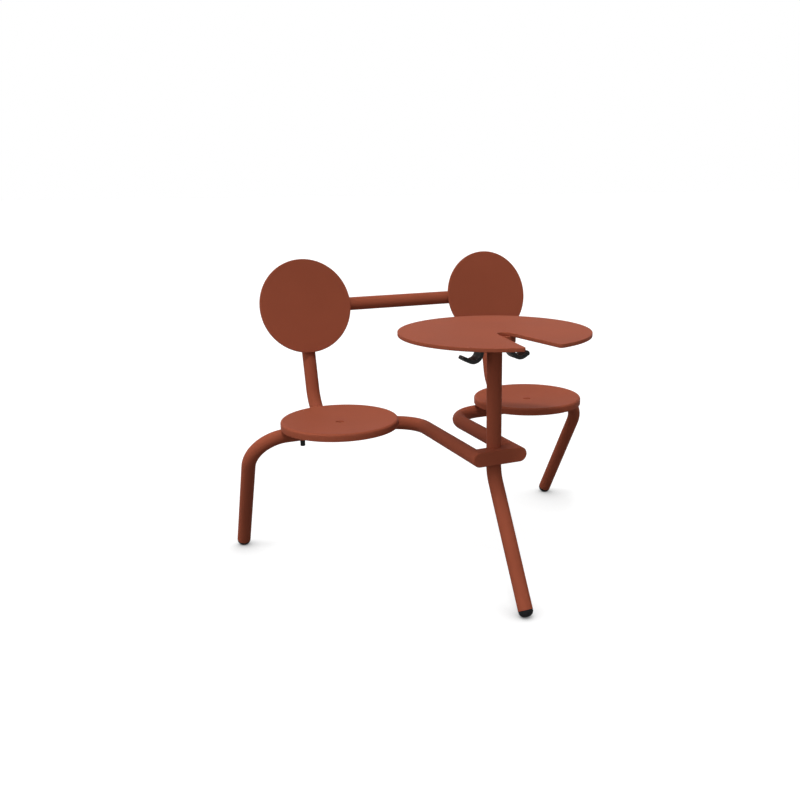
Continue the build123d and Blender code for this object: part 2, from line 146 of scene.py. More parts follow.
class NodeBoard:
    """A node tree that is filled by calls and expressions."""

    MIX_FACTOR = 0
    MIX_COLOURS = (6, 7)
    MIX_RESULT = 2

    def __init__(self, tree: bpy.types.NodeTree) -> None:
        """Start on an emptied tree."""
        self.tree = tree
        tree.nodes.clear()

    def node(
        self,
        kind: str,
        settings: Mapping[str, Any] | None = None,
        sockets: Mapping[str | int, Any] | None = None,
        output: str | int | None = 0,
    ) -> Signal | None:
        """Add a node.

        Args:
            kind: The node's type.
            settings: Its properties, which are set first.
            sockets: Values or signals for its inputs, by name or index.
            output: The output that the signal stands for, or None for a node at the tree's end.

        Returns:
            The signal of that output.
        """
        made = self.tree.nodes.new(kind)
        for name, value in (settings or {}).items():
            setattr(made, name, value)
        for name, value in (sockets or {}).items():
            self.feed(made.inputs[name], value)
        return None if output is None else Signal(self, made.outputs[output])

    def feed(self, socket: bpy.types.NodeSocket, value: Any) -> None:
        """Link a signal to an input socket, or set its plain value.

        Args:
            socket: The input socket.
            value: A signal or a plain value.
        """
        if isinstance(value, Signal):
            self.tree.links.new(value.socket, socket)
        else:
            socket.default_value = value

    def maths(self, operation: str, first: Any, second: Any = 0.0) -> Signal:
        """One Math node on two values."""
        return self.node("ShaderNodeMath", {"operation": operation}, {0: first, 1: second})

    def mix(self, factor: Any, first: Any, second: Any) -> Signal:
        """A colour between two others.

        Args:
            factor: 0 for the first colour, 1 for the second.
            first: A signal or a plain colour.
            second: A signal or a plain colour.

        Returns:
            The mixed colour.
        """
        low, high = self.MIX_COLOURS
        sockets = {self.MIX_FACTOR: factor, low: opaque(first), high: opaque(second)}
        return self.node("ShaderNodeMix", {"data_type": "RGBA"}, sockets, self.MIX_RESULT)

    def noise(self, place: Signal, grain: float, detail: float = 2.0) -> Signal:
        """Soft noise from 0 to 1 whose lumps are about as large as the grain, in metres."""
        sockets = {"Vector": place, "Scale": 1 / grain, "Detail": detail}
        return self.node("ShaderNodeTexNoise", None, sockets)

    def cells(self, place: Signal, grain: float) -> Signal:
        """Distance from the middle of cells about as large as the grain, in cell sizes."""
        return self.node("ShaderNodeTexVoronoi", None, {"Vector": place, "Scale": 1 / grain})

    def wear(self) -> Signal:
        """The edge wear that a piece's points carry, from 0 to 1, which on the hooks also holds
        painted light.
        """
        return self.node("ShaderNodeAttribute", {"attribute_name": WEAR_AND_LIGHT}, None, "Fac")

    def place(self, stretch: Direction = (1, 1, 1)) -> Signal:
        """Object coordinates, stretched along the axes."""
        here = self.node("ShaderNodeTexCoord", None, None, "Object")
        return self.node("ShaderNodeMapping", None, {"Vector": here, "Scale": stretch})

    def bump(self, height: Signal, depth: float, strength: float) -> Signal:
        """A normal that follows a height from 0 to 1, scaled to a depth in metres."""
        sockets = {"Height": height, "Distance": depth, "Strength": strength}
        return self.node("ShaderNodeBump", None, sockets)


def opaque(colour: Any) -> Any:
    """A plain colour with its alpha, or a signal as it is."""
    return colour if isinstance(colour, Signal) else (*colour, 1.0)


def shade(colour: Colour, factor: float) -> Colour:
    """A colour made lighter or darker."""
    return tuple(channel * factor for channel in colour)


@dataclass(frozen=True)
class Finish:
    """A surface finish that becomes one procedural material."""

    name: str
    slot: Slot

    def material(self) -> bpy.types.Material:
        """The finish's material, made the first time that it is asked for."""
        return bpy.data.materials.get(self.name) or self._make()

    def _make(self) -> bpy.types.Material:
        """Build the material around one Principled shader.

        Returns:
            The new material.
        """
        material = bpy.data.materials.new(self.name)
        material.use_nodes = True
        board = NodeBoard(material.node_tree)
        shader = board.node("ShaderNodeBsdfPrincipled", None, self.surface(board))
        board.node("ShaderNodeOutputMaterial", None, {"Surface": shader}, None)
        return material

    def surface(self, board: NodeBoard) -> dict[str, Any]:
        """Values and signals for the shader's sockets, which each finish gives in its own way."""
        raise NotImplementedError


@dataclass(frozen=True)
class PowderCoat(Finish):
    """Matt powder coat: orange-peel skin, fine grain, faint drift of tone, polished edges."""

    name: str = "terracotta_powder_coat"
    slot: Slot = Slot.POWDER_COAT
    colour: Colour = (0.342, 0.0855, 0.045)
    worn_colour: Colour = (0.42, 0.125, 0.075)
    drift_size: float = 260 * MM
    peel_size: float = 2.6 * MM
    grain_size: float = 0.7 * MM
    speck_size: float = 6.0 * MM
    patch_size: float = 9 * MM
    drift_range: Span = (0.3, 0.7)
    grain_range: Span = (0.35, 0.75)
    speck_range: Span = (0.05, 0.11)
    patch_range: Span = (0.42, 0.66)
    drift: float = 0.05
    grain_share: float = 0.16
    grain_shade: float = 0.72
    speck_share: float = 0.12
    speck_shade: float = 1.6
    wear: float = 0.12
    roughness: float = 0.6
    peel_rough: float = 0.16
    drift_rough: float = 0.12
    wear_polish: float = 0.4
    gloss: float = 0.025
    peel_share: float = 0.75
    peel_depth: float = 0.05 * MM
    relief: float = 0.6

    def surface(self, board: NodeBoard) -> dict[str, Any]:
        """Values and signals for the shader's sockets.

        Args:
            board: The material's tree.

        Returns:
            The shader's inputs by name.
        """
        place = board.place()
        drift = board.noise(place, self.drift_size, detail=3.0)
        peel = board.noise(place, self.peel_size)
        grain = board.noise(place, self.grain_size)
        grainy = grain.ramp(*self.grain_range) * self.grain_share
        speck = 1 - board.cells(place, self.speck_size).ramp(*self.speck_range)
        patches = board.noise(place, self.patch_size, detail=4.0).ramp(*self.patch_range)
        polished = board.wear() * patches * self.wear
        low, high = shade(self.colour, 1 - self.drift), shade(self.colour, 1 + self.drift)
        tone = board.mix(drift.ramp(*self.drift_range), low, high)
        tone = board.mix(grainy, tone, shade(self.colour, self.grain_shade))
        tone = board.mix(speck * self.speck_share, tone, shade(self.colour, self.speck_shade))
        tone = board.mix(polished, tone, self.worn_colour)
        rough = self.roughness + (peel - NOISE_MEAN) * self.peel_rough
        rough = rough + (drift - NOISE_MEAN) * self.drift_rough - polished * self.wear_polish
        skin = peel * self.peel_share + grain * (1 - self.peel_share)
        return {
            "Base Color": tone,
            "Roughness": rough,
            "Specular IOR Level": self.gloss,
            "Normal": board.bump(skin, self.peel_depth, self.relief),
        }


@dataclass(frozen=True)
class MouldedPlastic(Finish):
    """Black moulded plastic with a spark-eroded grain, paler where its points carry wear: rub on
    edges, and painted light on the hooks' inner faces.
    """

    name: str = "black_moulded_plastic"
    slot: Slot = Slot.BLACK_PLASTIC
    colour: Colour = (0.0085, 0.0088, 0.0087)
    # Pale grey for rub wear, and for painted light on the hooks' inner faces that the table shades.
    rubbed_colour: Colour = (0.3, 0.302, 0.3)
    grain_size: float = 0.45 * MM
    cloud_size: float = 24 * MM
    cloud_range: Span = (0.3, 0.75)
    cloud_shade: float = 1.7
    rub_range: Span = (0.3, 0.7)
    rub_least: float = 0.55
    roughness: float = 0.56
    cloud_rough: float = 0.22
    grain_rough: float = 0.08
    rub_polish: float = 0.2
    gloss: float = 0.16
    grain_depth: float = 0.04 * MM
    relief: float = 0.5

    def surface(self, board: NodeBoard) -> dict[str, Any]:
        """Values and signals for the shader's sockets.

        Args:
            board: The material's tree.

        Returns:
            The shader's inputs by name.
        """
        place = board.place()
        grain = board.cells(place, self.grain_size)
        cloud = board.noise(place, self.cloud_size, detail=4.0)
        patches = self.rub_least + cloud.ramp(*self.rub_range) * (1 - self.rub_least)
        # Paler mask: rub wear on edges, and painted light on the hooks' inner faces.
        rub_and_lit = board.wear() * patches
        pale = shade(self.colour, self.cloud_shade)
        tone = board.mix(cloud.ramp(*self.cloud_range), self.colour, pale)
        rough = self.roughness + (cloud - NOISE_MEAN) * self.cloud_rough + grain * self.grain_rough
        return {
            "Base Color": board.mix(rub_and_lit, tone, self.rubbed_colour),
            "Roughness": rough - rub_and_lit * self.rub_polish,
            "Specular IOR Level": self.gloss,
            "Normal": board.bump(grain, self.grain_depth, self.relief),
        }


@dataclass(frozen=True)
class FootRubber(Finish):
    """Black rubber, dusty where it comes near the floor."""

    name: str = "black_foot_rubber"
    slot: Slot = Slot.BLACK_RUBBER
    colour: Colour = (0.0115, 0.0115, 0.0118)
    dust_colour: Colour = (0.085, 0.08, 0.074)
    dust_height: float = 9 * MM
    pore_size: float = 0.6 * MM
    scuff_size: float = 5 * MM
    dust_range: Span = (0.4, 0.7)
    dust_share: float = 0.6
    scuff_range: Span = (0.3, 0.7)
    dark_shade: float = 0.8
    scuff_shade: float = 1.6
    roughness: float = 0.76
    pore_rough: float = 0.2
    dust_rough: float = 0.2
    gloss: float = 0.1
    pore_share: float = 0.6
    pore_depth: float = 0.06 * MM
    relief: float = 0.6

    def surface(self, board: NodeBoard) -> dict[str, Any]:
        """Values and signals for the shader's sockets.

        Args:
            board: The material's tree.

        Returns:
            The shader's inputs by name.
        """
        place = board.place()
        pores = board.noise(place, self.pore_size)
        scuffs = board.noise(place, self.scuff_size, detail=5.0)
        height = board.node("ShaderNodeSeparateXYZ", None, {"Vector": place}, "Z")
        low_down = 1 - height.ramp(0.0, self.dust_height)
        dust = low_down * scuffs.ramp(*self.dust_range) * self.dust_share
        dark, light = shade(self.colour, self.dark_shade), shade(self.colour, self.scuff_shade)
        tone = board.mix(scuffs.ramp(*self.scuff_range), dark, light)
        rough = self.roughness + (pores - NOISE_MEAN) * self.pore_rough + dust * self.dust_rough
        skin = pores * self.pore_share + scuffs * (1 - self.pore_share)
        return {
            "Base Color": board.mix(dust, tone, self.dust_colour),
            "Roughness": rough,
            "Specular IOR Level": self.gloss,
            "Normal": board.bump(skin, self.pore_depth, self.relief),
        }


@dataclass(frozen=True)
class ZincPlate(Finish):
    """Zinc-plated steel with a faint yellow bloom and turning marks."""

    name: str = "zinc_plated_steel"
    slot: Slot = Slot.ZINC_STEEL
    colour: Colour = (0.6, 0.61, 0.61)
    bloom_colour: Colour = (0.62, 0.57, 0.44)
    bloom_size: float = 5 * MM
    bloom_range: Span = (0.4, 0.75)
    bloom_share: float = 0.7
    mark_size: float = 0.5 * MM
    mark_stretch: Direction = (1, 1, 6)
    roughness: float = 0.34
    bloom_rough: float = 0.25
    mark_rough: float = 0.12
    mark_depth: float = 0.02 * MM
    relief: float = 0.4

    def surface(self, board: NodeBoard) -> dict[str, Any]:
        """Values and signals for the shader's sockets.

        Args:
            board: The material's tree.

        Returns:
            The shader's inputs by name.
        """
        bloom = board.noise(board.place(), self.bloom_size, detail=4.0)
        marks = board.noise(board.place(self.mark_stretch), self.mark_size)
        yellowed = bloom.ramp(*self.bloom_range) * self.bloom_share
        rough = self.roughness + (bloom - NOISE_MEAN) * self.bloom_rough
        return {
            "Base Color": board.mix(yellowed, self.colour, self.bloom_colour),
            "Metallic": 1.0,
            "Roughness": rough + (marks - NOISE_MEAN) * self.mark_rough,
            "Normal": board.bump(marks, self.mark_depth, self.relief),
        }


COAT = PowderCoat()
PLASTIC = MouldedPlastic()
RUBBER = FootRubber()
ZINC = ZincPlate()


class GeometryBoard(NodeBoard):
    """A geometry node tree with named inputs, which ends in plain dressed geometry."""

    SHAPE = "Geometry"
    FINISH = "Finish"

    def __init__(self, name: str, inputs: Mapping[str, Kind]) -> None:
        """Make the tree and its sockets.

        Args:
            name: The tree's name.
            inputs: Names and kinds of its inputs, besides the geometry and the finish.
        """
        super().__init__(bpy.data.node_groups.new(name, "GeometryNodeTree"))
        titles = self.tree.interface
        for title, kind in {self.SHAPE: Kind.SHAPE, **inputs, self.FINISH: Kind.FINISH}.items():
            titles.new_socket(title, in_out="INPUT", socket_type=kind.value)
        titles.new_socket(self.SHAPE, in_out="OUTPUT", socket_type=Kind.SHAPE.value)
        self.entry = self.tree.nodes.new("NodeGroupInput")

    def given(self, name: str) -> Signal:
        """The signal of one of the tree's inputs."""
        return Signal(self, self.entry.outputs[name])

    def line(self) -> Signal:
        """The chain of edges that goes in, as a curve."""
        return self.node("GeometryNodeMeshToCurve", None, {"Mesh": self.given(self.SHAPE)})

    def sweep(self, route: Signal, radius: str, further: Mapping[str, Any]) -> None:
        """Sweep a circle along a route and close the tree.

        Args:
            route: The curve to follow.
            radius: Name of the input with the circle's radius.
            further: Further values for the node that makes the skin.
        """
        ring = {"Resolution": self.given("Sides"), "Radius": self.given(radius)}
        section = self.node("GeometryNodeCurvePrimitiveCircle", None, ring)
        skin = {"Curve": route, "Profile Curve": section, **further}
        self.close(self.node("GeometryNodeCurveToMesh", None, skin))

    def close(self, shape: Signal) -> None:
        """Realize the instances, set the material and lead the result out.

        Args:
            shape: The geometry that the tree ends in.
        """
        real = self.node("GeometryNodeRealizeInstances", None, {"Geometry": shape})
        sockets = {"Geometry": real, "Material": self.given(self.FINISH)}
        dressed = self.node("GeometryNodeSetMaterial", None, sockets)
        end = self.tree.nodes.new("NodeGroupOutput")
        self.feed(end.inputs[self.SHAPE], dressed)

    def run(self, piece: bpy.types.Object, values: Mapping[str, Any]) -> None:
        """Turn a piece's mesh into what the tree makes of it.

        Args:
            piece: The object whose mesh goes in and comes out changed.
            values: The inputs by name.
        """
        modifier = piece.modifiers.new(self.tree.name, "NODES")
        modifier.node_group = self.tree
        for item in self.tree.interface.items_tree:
            if item.in_out == "INPUT" and item.name in values:
                modifier[item.identifier] = values[item.name]
        evaluated = piece.evaluated_get(bpy.context.evaluated_depsgraph_get())
        made = bpy.data.meshes.new_from_object(evaluated)
        piece.modifiers.remove(modifier)
        before = piece.data
        piece.data = made
        bpy.data.meshes.remove(before)
        made.name = piece.name


@dataclass(frozen=True)
class NodeBox:
    """The box of one solid of the frame, in metres."""

    low: Vector
    high: Vector

    @classmethod
    def of(cls, node: str) -> "NodeBox":
        """The box of a named node."""
        return cls(*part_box(node))

    @property
    def centre(self) -> Vector:
        """The box's middle."""
        return (self.low + self.high) / 2

    @property
    def size(self) -> Vector:
        """The box's extents."""
        return self.high - self.low


@dataclass(frozen=True)
class BenchPlan:
    """Places that several sub-assemblies share, read from the frame where it shows them."""

    tube_radius: float
    post_y: float
    post_top: float
    run_y: float
    run_z: float
    branch_x: float
    branch_end_y: float
    seat_x: float
    back_top_y: float
    back_top_z: float
    bend_radius: float = 110 * MM
    post_bend_z: float = 360 * MM
    leg_rake: float = math.radians(29.5)
    leg_top_x: float = 581.6 * MM
    rear_foot_x: float = 576 * MM
    foot_tube_z: float = 19.5 * MM
    back_reach: float = 624.8 * MM

    @classmethod
    def from_frame(cls) -> "BenchPlan":
        """Read the plan from the boxes of the frame's nodes.

        Returns:
            The plan of this bench.
        """
        post = NodeBox.of("table_post")
        coupling = NodeBox.of("coupling_block")
        back = NodeBox.of("backrest_tube")
        radius = post.size.x / 2
        return cls(
            tube_radius=radius,
            post_y=NodeBox.of("table_flange").centre.y,
            post_top=post.high.z,
            run_y=NodeBox.of("right_seat_saddles").centre.y,
            run_z=coupling.centre.z,
            branch_x=coupling.high.x - radius,
            branch_end_y=coupling.high.y,
            seat_x=NodeBox.of("right_seat").centre.x,
            back_top_y=back.high.y - radius,
            back_top_z=back.high.z - radius,
        )

    @property
    def back_bend(self) -> Vector:
        """Corner where the right half of the backrest tube turns up."""
        return Vector((self.seat_x, self.post_y + self.back_reach, self.run_z))

    @property
    def back_top(self) -> Vector:
        """Corner of the backrest tube behind the right backrest."""
        return Vector((self.seat_x, self.back_top_y, self.back_top_z))

    @property
    def back_plane(self) -> Matrix:
        """Place of the right backrest on its tube.

        Returns:
            Its axes: X across, Y up along the tube and Z out of its face.
        """
        up = (self.back_top - self.back_bend).normalized()
        out = X_AXIS.cross(up)
        axes = Matrix((X_AXIS, up, out)).transposed().to_4x4()
        return Matrix.Translation(self.back_top) @ axes

    @property
    def post_bend(self) -> Vector:
        """Corner where the post turns forward into the front leg."""
        return Vector((0, self.post_y, self.post_bend_z))

    @property
    def front_tube_end(self) -> Vector:
        """End of the front leg's tube, above its foot."""
        drop = self.post_bend_z - self.foot_tube_z
        return self.post_bend - Vector((0, drop * math.tan(self.leg_rake), drop))

    @property
    def leg_bend(self) -> Vector:
        """Corner where the right seat tube turns down into the rear leg."""
        return Vector((self.leg_top_x, self.run_y, self.run_z))

    @property
    def rear_tube_end(self) -> Vector:
        """End of the right rear leg's tube.

        Returns:
            The point on the tube's axis, above its foot.
        """
        fall = self.run_z * math.tan(self.leg_rake)
        floor_point = Vector((self.rear_foot_x, self.run_y + fall, 0))
        return floor_point.lerp(self.leg_bend, self.foot_tube_z / self.run_z)


def mirrored(points: Sequence[Vector], side: Side) -> list[Vector]:
    """Points of the right half, moved to a side."""
    return [Vector((point.x * side.value, point.y, point.z)) for point in points]


def circle(radius: float, height: float, count: int) -> list[Vector]:
    """A ring of points about the Z axis."""
    turns = (FULL_TURN * step / count for step in range(count))
    return [Vector((radius * math.cos(turn), radius * math.sin(turn), height)) for turn in turns]


def arc(centre: FlatPoint, radius: float, start: float, end: float, steps: int) -> list[FlatPoint]:
    """Points of a flat arc between two angles in degrees, in even steps, both ends among them."""
    angles = [math.radians(start + (end - start) * step / steps) for step in range(steps + 1)]
    return [(centre[0] + radius * math.cos(a), centre[1] + radius * math.sin(a)) for a in angles]


def softened(
    before: FlatPoint, corner: FlatPoint, after: FlatPoint, reach: float, steps: int = 5
) -> list[FlatPoint]:
    """Points of a flat curve that cuts a corner.

    Args:
        before: A point on the way to the corner.
        corner: The corner.
        after: A point on the way from it.
        reach: How far from the corner the curve begins and ends.
        steps: How many straight steps it is divided into.

    Returns:
        The points, both ends among them.
    """
    middle = Vector(corner)
    start = middle + (Vector(before) - middle).normalized() * reach
    end = middle + (Vector(after) - middle).normalized() * reach
    shares = [step / steps for step in range(steps + 1)]
    return [tuple(start.lerp(middle, share).lerp(middle.lerp(end, share), share)) for share in shares]


def eased(share: float) -> float:
    """A share from 0 to 1, slowed down at both ends."""
    return share * share * (3 - 2 * share)


def worn(points: Sequence[FlatPoint], wear: float) -> list[ProfilePoint]:
    """Flat points with the same edge wear on each."""
    return [(first, second, wear) for first, second in points]


class Piece:
    """Makes finished objects from rings, paths and points."""

    SHARP = math.radians(40)

    @staticmethod
    def from_mesh(name: str, mesh: bpy.types.Mesh) -> bpy.types.Object:
        """Show a mesh in the scene.

        Args:
            name: The object's name.
            mesh: The mesh.

        Returns:
            The new object.
        """
        piece = bpy.data.objects.new(name, mesh)
        bpy.context.scene.collection.objects.link(piece)
        return piece

    @classmethod
    def path(cls, name: str, points: Sequence[Vector], closed: bool = False) -> bpy.types.Object:
        """A chain of edges for a geometry tree to follow.

        Args:
            name: The object's name.
            points: The chain's corners.
            closed: Whether the last point joins the first.

        Returns:
            The object, which has no faces yet.
        """
        edges = [(step, step + 1) for step in range(len(points) - 1)]
        if closed:
            edges.append((len(points) - 1, 0))
        mesh = bpy.data.meshes.new(name)
        mesh.from_pydata(points, edges, [])
        return cls.from_mesh(name, mesh)

    @classmethod
    def loft(
        cls,
        name: str,
        rings: Sequence[Sequence[Vector]],
        wear: Sequence[float] | None = None,
        closed: bool = False,
    ) -> bpy.types.Object:
        """A skin over rings of equally many points.

        Args:
            name: The object's name.
            rings: The rings in order.
            wear: The wear of each ring, or of each point.
            closed: Whether the last ring joins the first. If not, both ends are filled.

        Returns:
            The object, smooth except at sharp edges.
        """
        count = len(rings[0])
        points = [point for ring in rings for point in ring]
        pairs = [(index, index + 1) for index in range(len(rings) - 1)]
        if closed:
            pairs.append((len(rings) - 1, 0))
        faces = []
        for low, high in pairs:
            near, far = low * count, high * count
            for step in range(count):
                after = (step + 1) % count
                faces.append([near + step, near + after, far + after, far + step])
        if not closed:
            faces.append(list(range(count)))
            faces.append(list(range(len(points) - count, len(points))))
        mesh = bpy.data.meshes.new(name)
        mesh.from_pydata(points, [], faces)
        amounts = wear or [0.0] * len(points)
        share = len(points) // len(amounts)
        layer = mesh.attributes.new(WEAR_AND_LIGHT, "FLOAT", "POINT")
        layer.data.foreach_set("value", [amount for amount in amounts for _ in range(share)])
        cls.outward(mesh)
        return cls.from_mesh(name, mesh)

    @classmethod
    def outward(cls, mesh: bpy.types.Mesh) -> None:
        """Turn a closed mesh's faces outwards and smooth all but its sharp edges.

        Args:
            mesh: The mesh, which is changed.
        """
        work = bmesh.new()
        work.from_mesh(mesh)
        bmesh.ops.recalc_face_normals(work, faces=work.faces)
        work.to_mesh(mesh)
        work.free()
        cls.smooth(mesh)

    @classmethod
    def smooth(cls, mesh: bpy.types.Mesh) -> None:
        """Smooth a mesh's faces, with its sharp edges kept."""
        mesh.shade_smooth()
        mesh.set_sharp_from_angle(angle=cls.SHARP)

    @classmethod
    def turned(
        cls,
        name: str,
        profile: Sequence[ProfilePoint],
        sides: int,
        placed: Matrix,
        closed: bool = False,
    ) -> bpy.types.Object:
        """A round body turned about an axis.

        Args:
            name: The object's name.
            profile: Radius, height and edge wear of the section's points.
            sides: How many flats a full turn is divided into.
            placed: Where the axis and its zero lie.
            closed: Whether the section closes on itself, as a ring's does.

        Returns:
            The object.
        """
        rings = []
        for radius, height, _ in profile:
            rings.append([placed @ point for point in circle(radius, height, sides)])
        return cls.loft(name, rings, [wear for _, _, wear in profile], closed)

    @staticmethod
    def finish(piece: bpy.types.Object, look: Finish, *nodes: str) -> None:
        """Dress a piece, hang it on the frame and hide the nodes of the frame that it stands for.

        Args:
            piece: The finished object.
            look: Its finish.
            nodes: The nodes of the frame that it replaces.
        """
        if not piece.data.materials:
            piece.data.materials.append(look.material())
        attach(piece, ROOT_BODY)
        if nodes:
            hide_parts(*nodes)
        LOG.info("%s has %d faces", piece.name, len(piece.data.polygons))

    @staticmethod
    def keep(look: Finish, *nodes: str) -> None:
        """Dress solids of the frame that keep their own shape.

        Args:
            look: Their finish.
            nodes: Their names.
        """
        for node in nodes:
            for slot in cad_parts[node].material_slots:
                slot.material = look.material()
            LOG.info("%s keeps its solid", node)


def bent_tube_tree() -> GeometryBoard:
    """A round tube along a chain of corners, each rounded to the bend radius.

    Returns:
        The tree, with the tube's sizes as inputs.
    """
    inputs = {
        "Tube Radius": Kind.NUMBER,
        "Bend Radius": Kind.NUMBER,
        "Bend Steps": Kind.COUNT,
        "Sides": Kind.COUNT,
    }
    tree = GeometryBoard("bent_tube", inputs)
    bends = {
        "Curve": tree.line(),
        "Count": tree.given("Bend Steps"),
        "Radius": tree.given("Bend Radius"),
    }
    route = tree.node("GeometryNodeFilletCurve", {"mode": "POLY"}, bends)
    tree.sweep(route, "Tube Radius", {"Fill Caps": True})
    return tree


def weld_bead_tree() -> GeometryBoard:
    """A rippled bead of weld along a closed path.

    Returns:
        The tree, with the bead's sizes as inputs.
    """
    inputs = {
        "Bead Radius": Kind.NUMBER,
        "Ripple Length": Kind.NUMBER,
        "Ripple Depth": Kind.NUMBER,
        "Steps": Kind.COUNT,
        "Sides": Kind.COUNT,
    }
    tree = GeometryBoard("weld_bead", inputs)
    even = {"Curve": tree.line(), "Count": tree.given("Steps")}
    route = tree.node("GeometryNodeResampleCurve", {"mode": "COUNT"}, even)
    along = tree.node("GeometryNodeSplineParameter", None, None, "Length")
    wave = tree.maths("SINE", along * FULL_TURN / tree.given("Ripple Length"))
    tree.sweep(route, "Bead Radius", {"Scale": 1 + wave * tree.given("Ripple Depth")})
    return tree


def fastener_tree() -> GeometryBoard:
    """One fastener on every point, turned to the point's axis and then at random about it.

    Returns:
        The tree, with the fastener, its scale and its turning as inputs.
    """
    inputs = {
        "Fastener": Kind.MODEL,
        "Scale": Kind.NUMBER,
        "Turn": Kind.NUMBER,
        "Seed": Kind.COUNT,
    }
    tree = GeometryBoard("fasteners", inputs)
    vector = {"data_type": "FLOAT_VECTOR"}
    axis = tree.node("GeometryNodeInputNamedAttribute", vector, {"Name": Fasteners.AXIS})
    across = tree.node("GeometryNodeInputNamedAttribute", vector, {"Name": Fasteners.ACROSS})
    axes = {"Primary Axis": axis, "Secondary Axis": across}
    order = {"primary_axis": "Z", "secondary_axis": "X"}
    stance = tree.node("FunctionNodeAxesToRotation", order, axes)
    spread = {"Min_001": 0.0, "Max_001": tree.given("Turn"), "Seed": tree.given("Seed")}
    turn = tree.node("FunctionNodeRandomValue", {"data_type": "FLOAT"}, None, 1)
    for socket in turn.socket.node.inputs:
        if socket.identifier in spread:
            tree.feed(socket, spread[socket.identifier])
    spin = tree.node("FunctionNodeAxisAngleToRotation", None, {"Axis": (0, 0, 1), "Angle": turn})
    turned = {"Rotation": stance, "Rotate By": spin}
    stance = tree.node("FunctionNodeRotateRotation", {"rotation_space": "LOCAL"}, turned)
    model = tree.node("GeometryNodeObjectInfo", None, {"Object": tree.given("Fastener")}, "Geometry")
    sockets = {
        "Points": tree.given(tree.SHAPE),
        "Instance": model,
        "Rotation": stance,
        "Scale": tree.given("Scale"),
    }
    tree.close(tree.node("GeometryNodeInstanceOnPoints", None, sockets))
    return tree


@dataclass
class SubAssembly:
    """A group of pieces that is built and dressed in one go."""

    plan: BenchPlan

    def build(self) -> None:
        """Make and dress every piece, which each group does in its own way."""
        raise NotImplementedError


@dataclass
class Tubework(SubAssembly):
    """Post, seat tubes and backrest tube, the block that couples them and the welds."""

    bend_steps: int = 24
    sides: int = 64
    weld_gap: float = 0.2 * MM
    bead_radius: float = 1.7 * MM
    bead_standoff: float = 0.3 * MM
    ripple_length: float = 3.2 * MM
    ripple_depth: float = 0.16
    bead_steps: int = 260
    bead_sides: int = 10
    tube_tree: GeometryBoard = field(default_factory=bent_tube_tree)
    bead_tree: GeometryBoard = field(default_factory=weld_bead_tree)

    def build(self) -> None:
        """Make and dress every tube and weld."""
        plan = self.plan
        post_top = Vector((0, plan.post_y, plan.post_top))
        self.tube("post_tube", [post_top, plan.post_bend, plan.front_tube_end], "table_post")
        for side in Side:
            self.seat_tube(side)
            self.backrest_weld(side)
        self.backrest_tube()
        self.flange_weld()
        Piece.keep(COAT, "coupling_block")

    def tube(self, name: str, route: Sequence[Vector], node: str) -> bpy.types.Object:
        """A bent tube along a route.

        Args:
            name: The piece's name.
            route: The corners of its axis.
            node: The node that it stands for.

        Returns:
            The piece.
        """
        piece = Piece.path(name, route)
        values = {
            "Tube Radius": self.plan.tube_radius,
            "Bend Radius": self.plan.bend_radius,
            "Bend Steps": self.bend_steps,
            "Sides": self.sides,
            GeometryBoard.FINISH: COAT.material(),
        }
        self.tube_tree.run(piece, values)
        Piece.outward(piece.data)
        Piece.finish(piece, COAT, node)
        return piece

    def seat_tube(self, side: Side) -> None:
        """Branch from the coupling, run under the seat and rear leg of one side.

        Args:
            side: The tube's side.
        """
        plan = self.plan
        start = Vector((plan.branch_x, plan.branch_end_y, plan.run_z))
        corner = Vector((plan.branch_x, plan.run_y, plan.run_z))
        route = mirrored([start, corner, plan.leg_bend, plan.rear_tube_end], side)
        self.tube(f"{side.word}_bent_seat_tube", route, f"{side.word}_seat_tube")

    def backrest_tube(self) -> None:
        """Tube that leaves both seat tubes, rises and crosses behind the backrests."""
        plan = self.plan
        start = Vector((plan.seat_x, plan.run_y + plan.tube_radius, plan.run_z))
        half = [start, plan.back_bend, plan.back_top]
        route = half + mirrored(half, Side.LEFT)[::-1]
        piece = self.tube("bent_backrest_tube", route, "backrest_tube")
        for point in piece.data.vertices:
            if abs(point.co.y - start.y) < MM:
                point.co.y = self.cope(point.co.z - plan.run_z)

    def cope(self, rise: float, standoff: float = 0.0) -> float:
        """Y of the weld gap's far side, or of a standoff past it, at a rise above the run's axis."""
        radius = self.plan.tube_radius + self.weld_gap + standoff
        return self.plan.run_y + math.sqrt(max(radius**2 - rise**2, 0.0))

    def bead(self, name: str, path: Sequence[Vector]) -> None:
        """A weld bead along a closed path.

        Args:
            name: The piece's name.
            path: Points of the bead's middle line.
        """
        piece = Piece.path(name, path, closed=True)
        values = {
            "Bead Radius": self.bead_radius,
            "Ripple Length": self.ripple_length,
            "Ripple Depth": self.ripple_depth,
            "Steps": self.bead_steps,
            "Sides": self.bead_sides,
            GeometryBoard.FINISH: COAT.material(),
        }
        self.bead_tree.run(piece, values)
        Piece.outward(piece.data)
        Piece.finish(piece, COAT)

    def ring(self) -> list[Vector]:
        """Points round a tube, just off its surface, about the Z axis."""
        return circle(self.plan.tube_radius + self.bead_standoff, 0.0, self.sides)

    def backrest_weld(self, side: Side) -> None:
        """Weld between the backrest tube and a seat tube.

        Args:
            side: The seat tube's side.
        """
        plan = self.plan
        path = []
        for point in self.ring():
            depth = self.cope(point.y, self.bead_standoff)
            path.append(Vector((side.value * plan.seat_x + point.x, depth, plan.run_z + point.y)))
        self.bead(f"{side.word}_backrest_weld", path)

    def flange_weld(self) -> None:
        """Weld between the post and the underside of the table's flange."""
        centre = Vector((0, self.plan.post_y, self.plan.post_top - self.bead_standoff))
        self.bead("flange_weld", [centre + point for point in self.ring()])


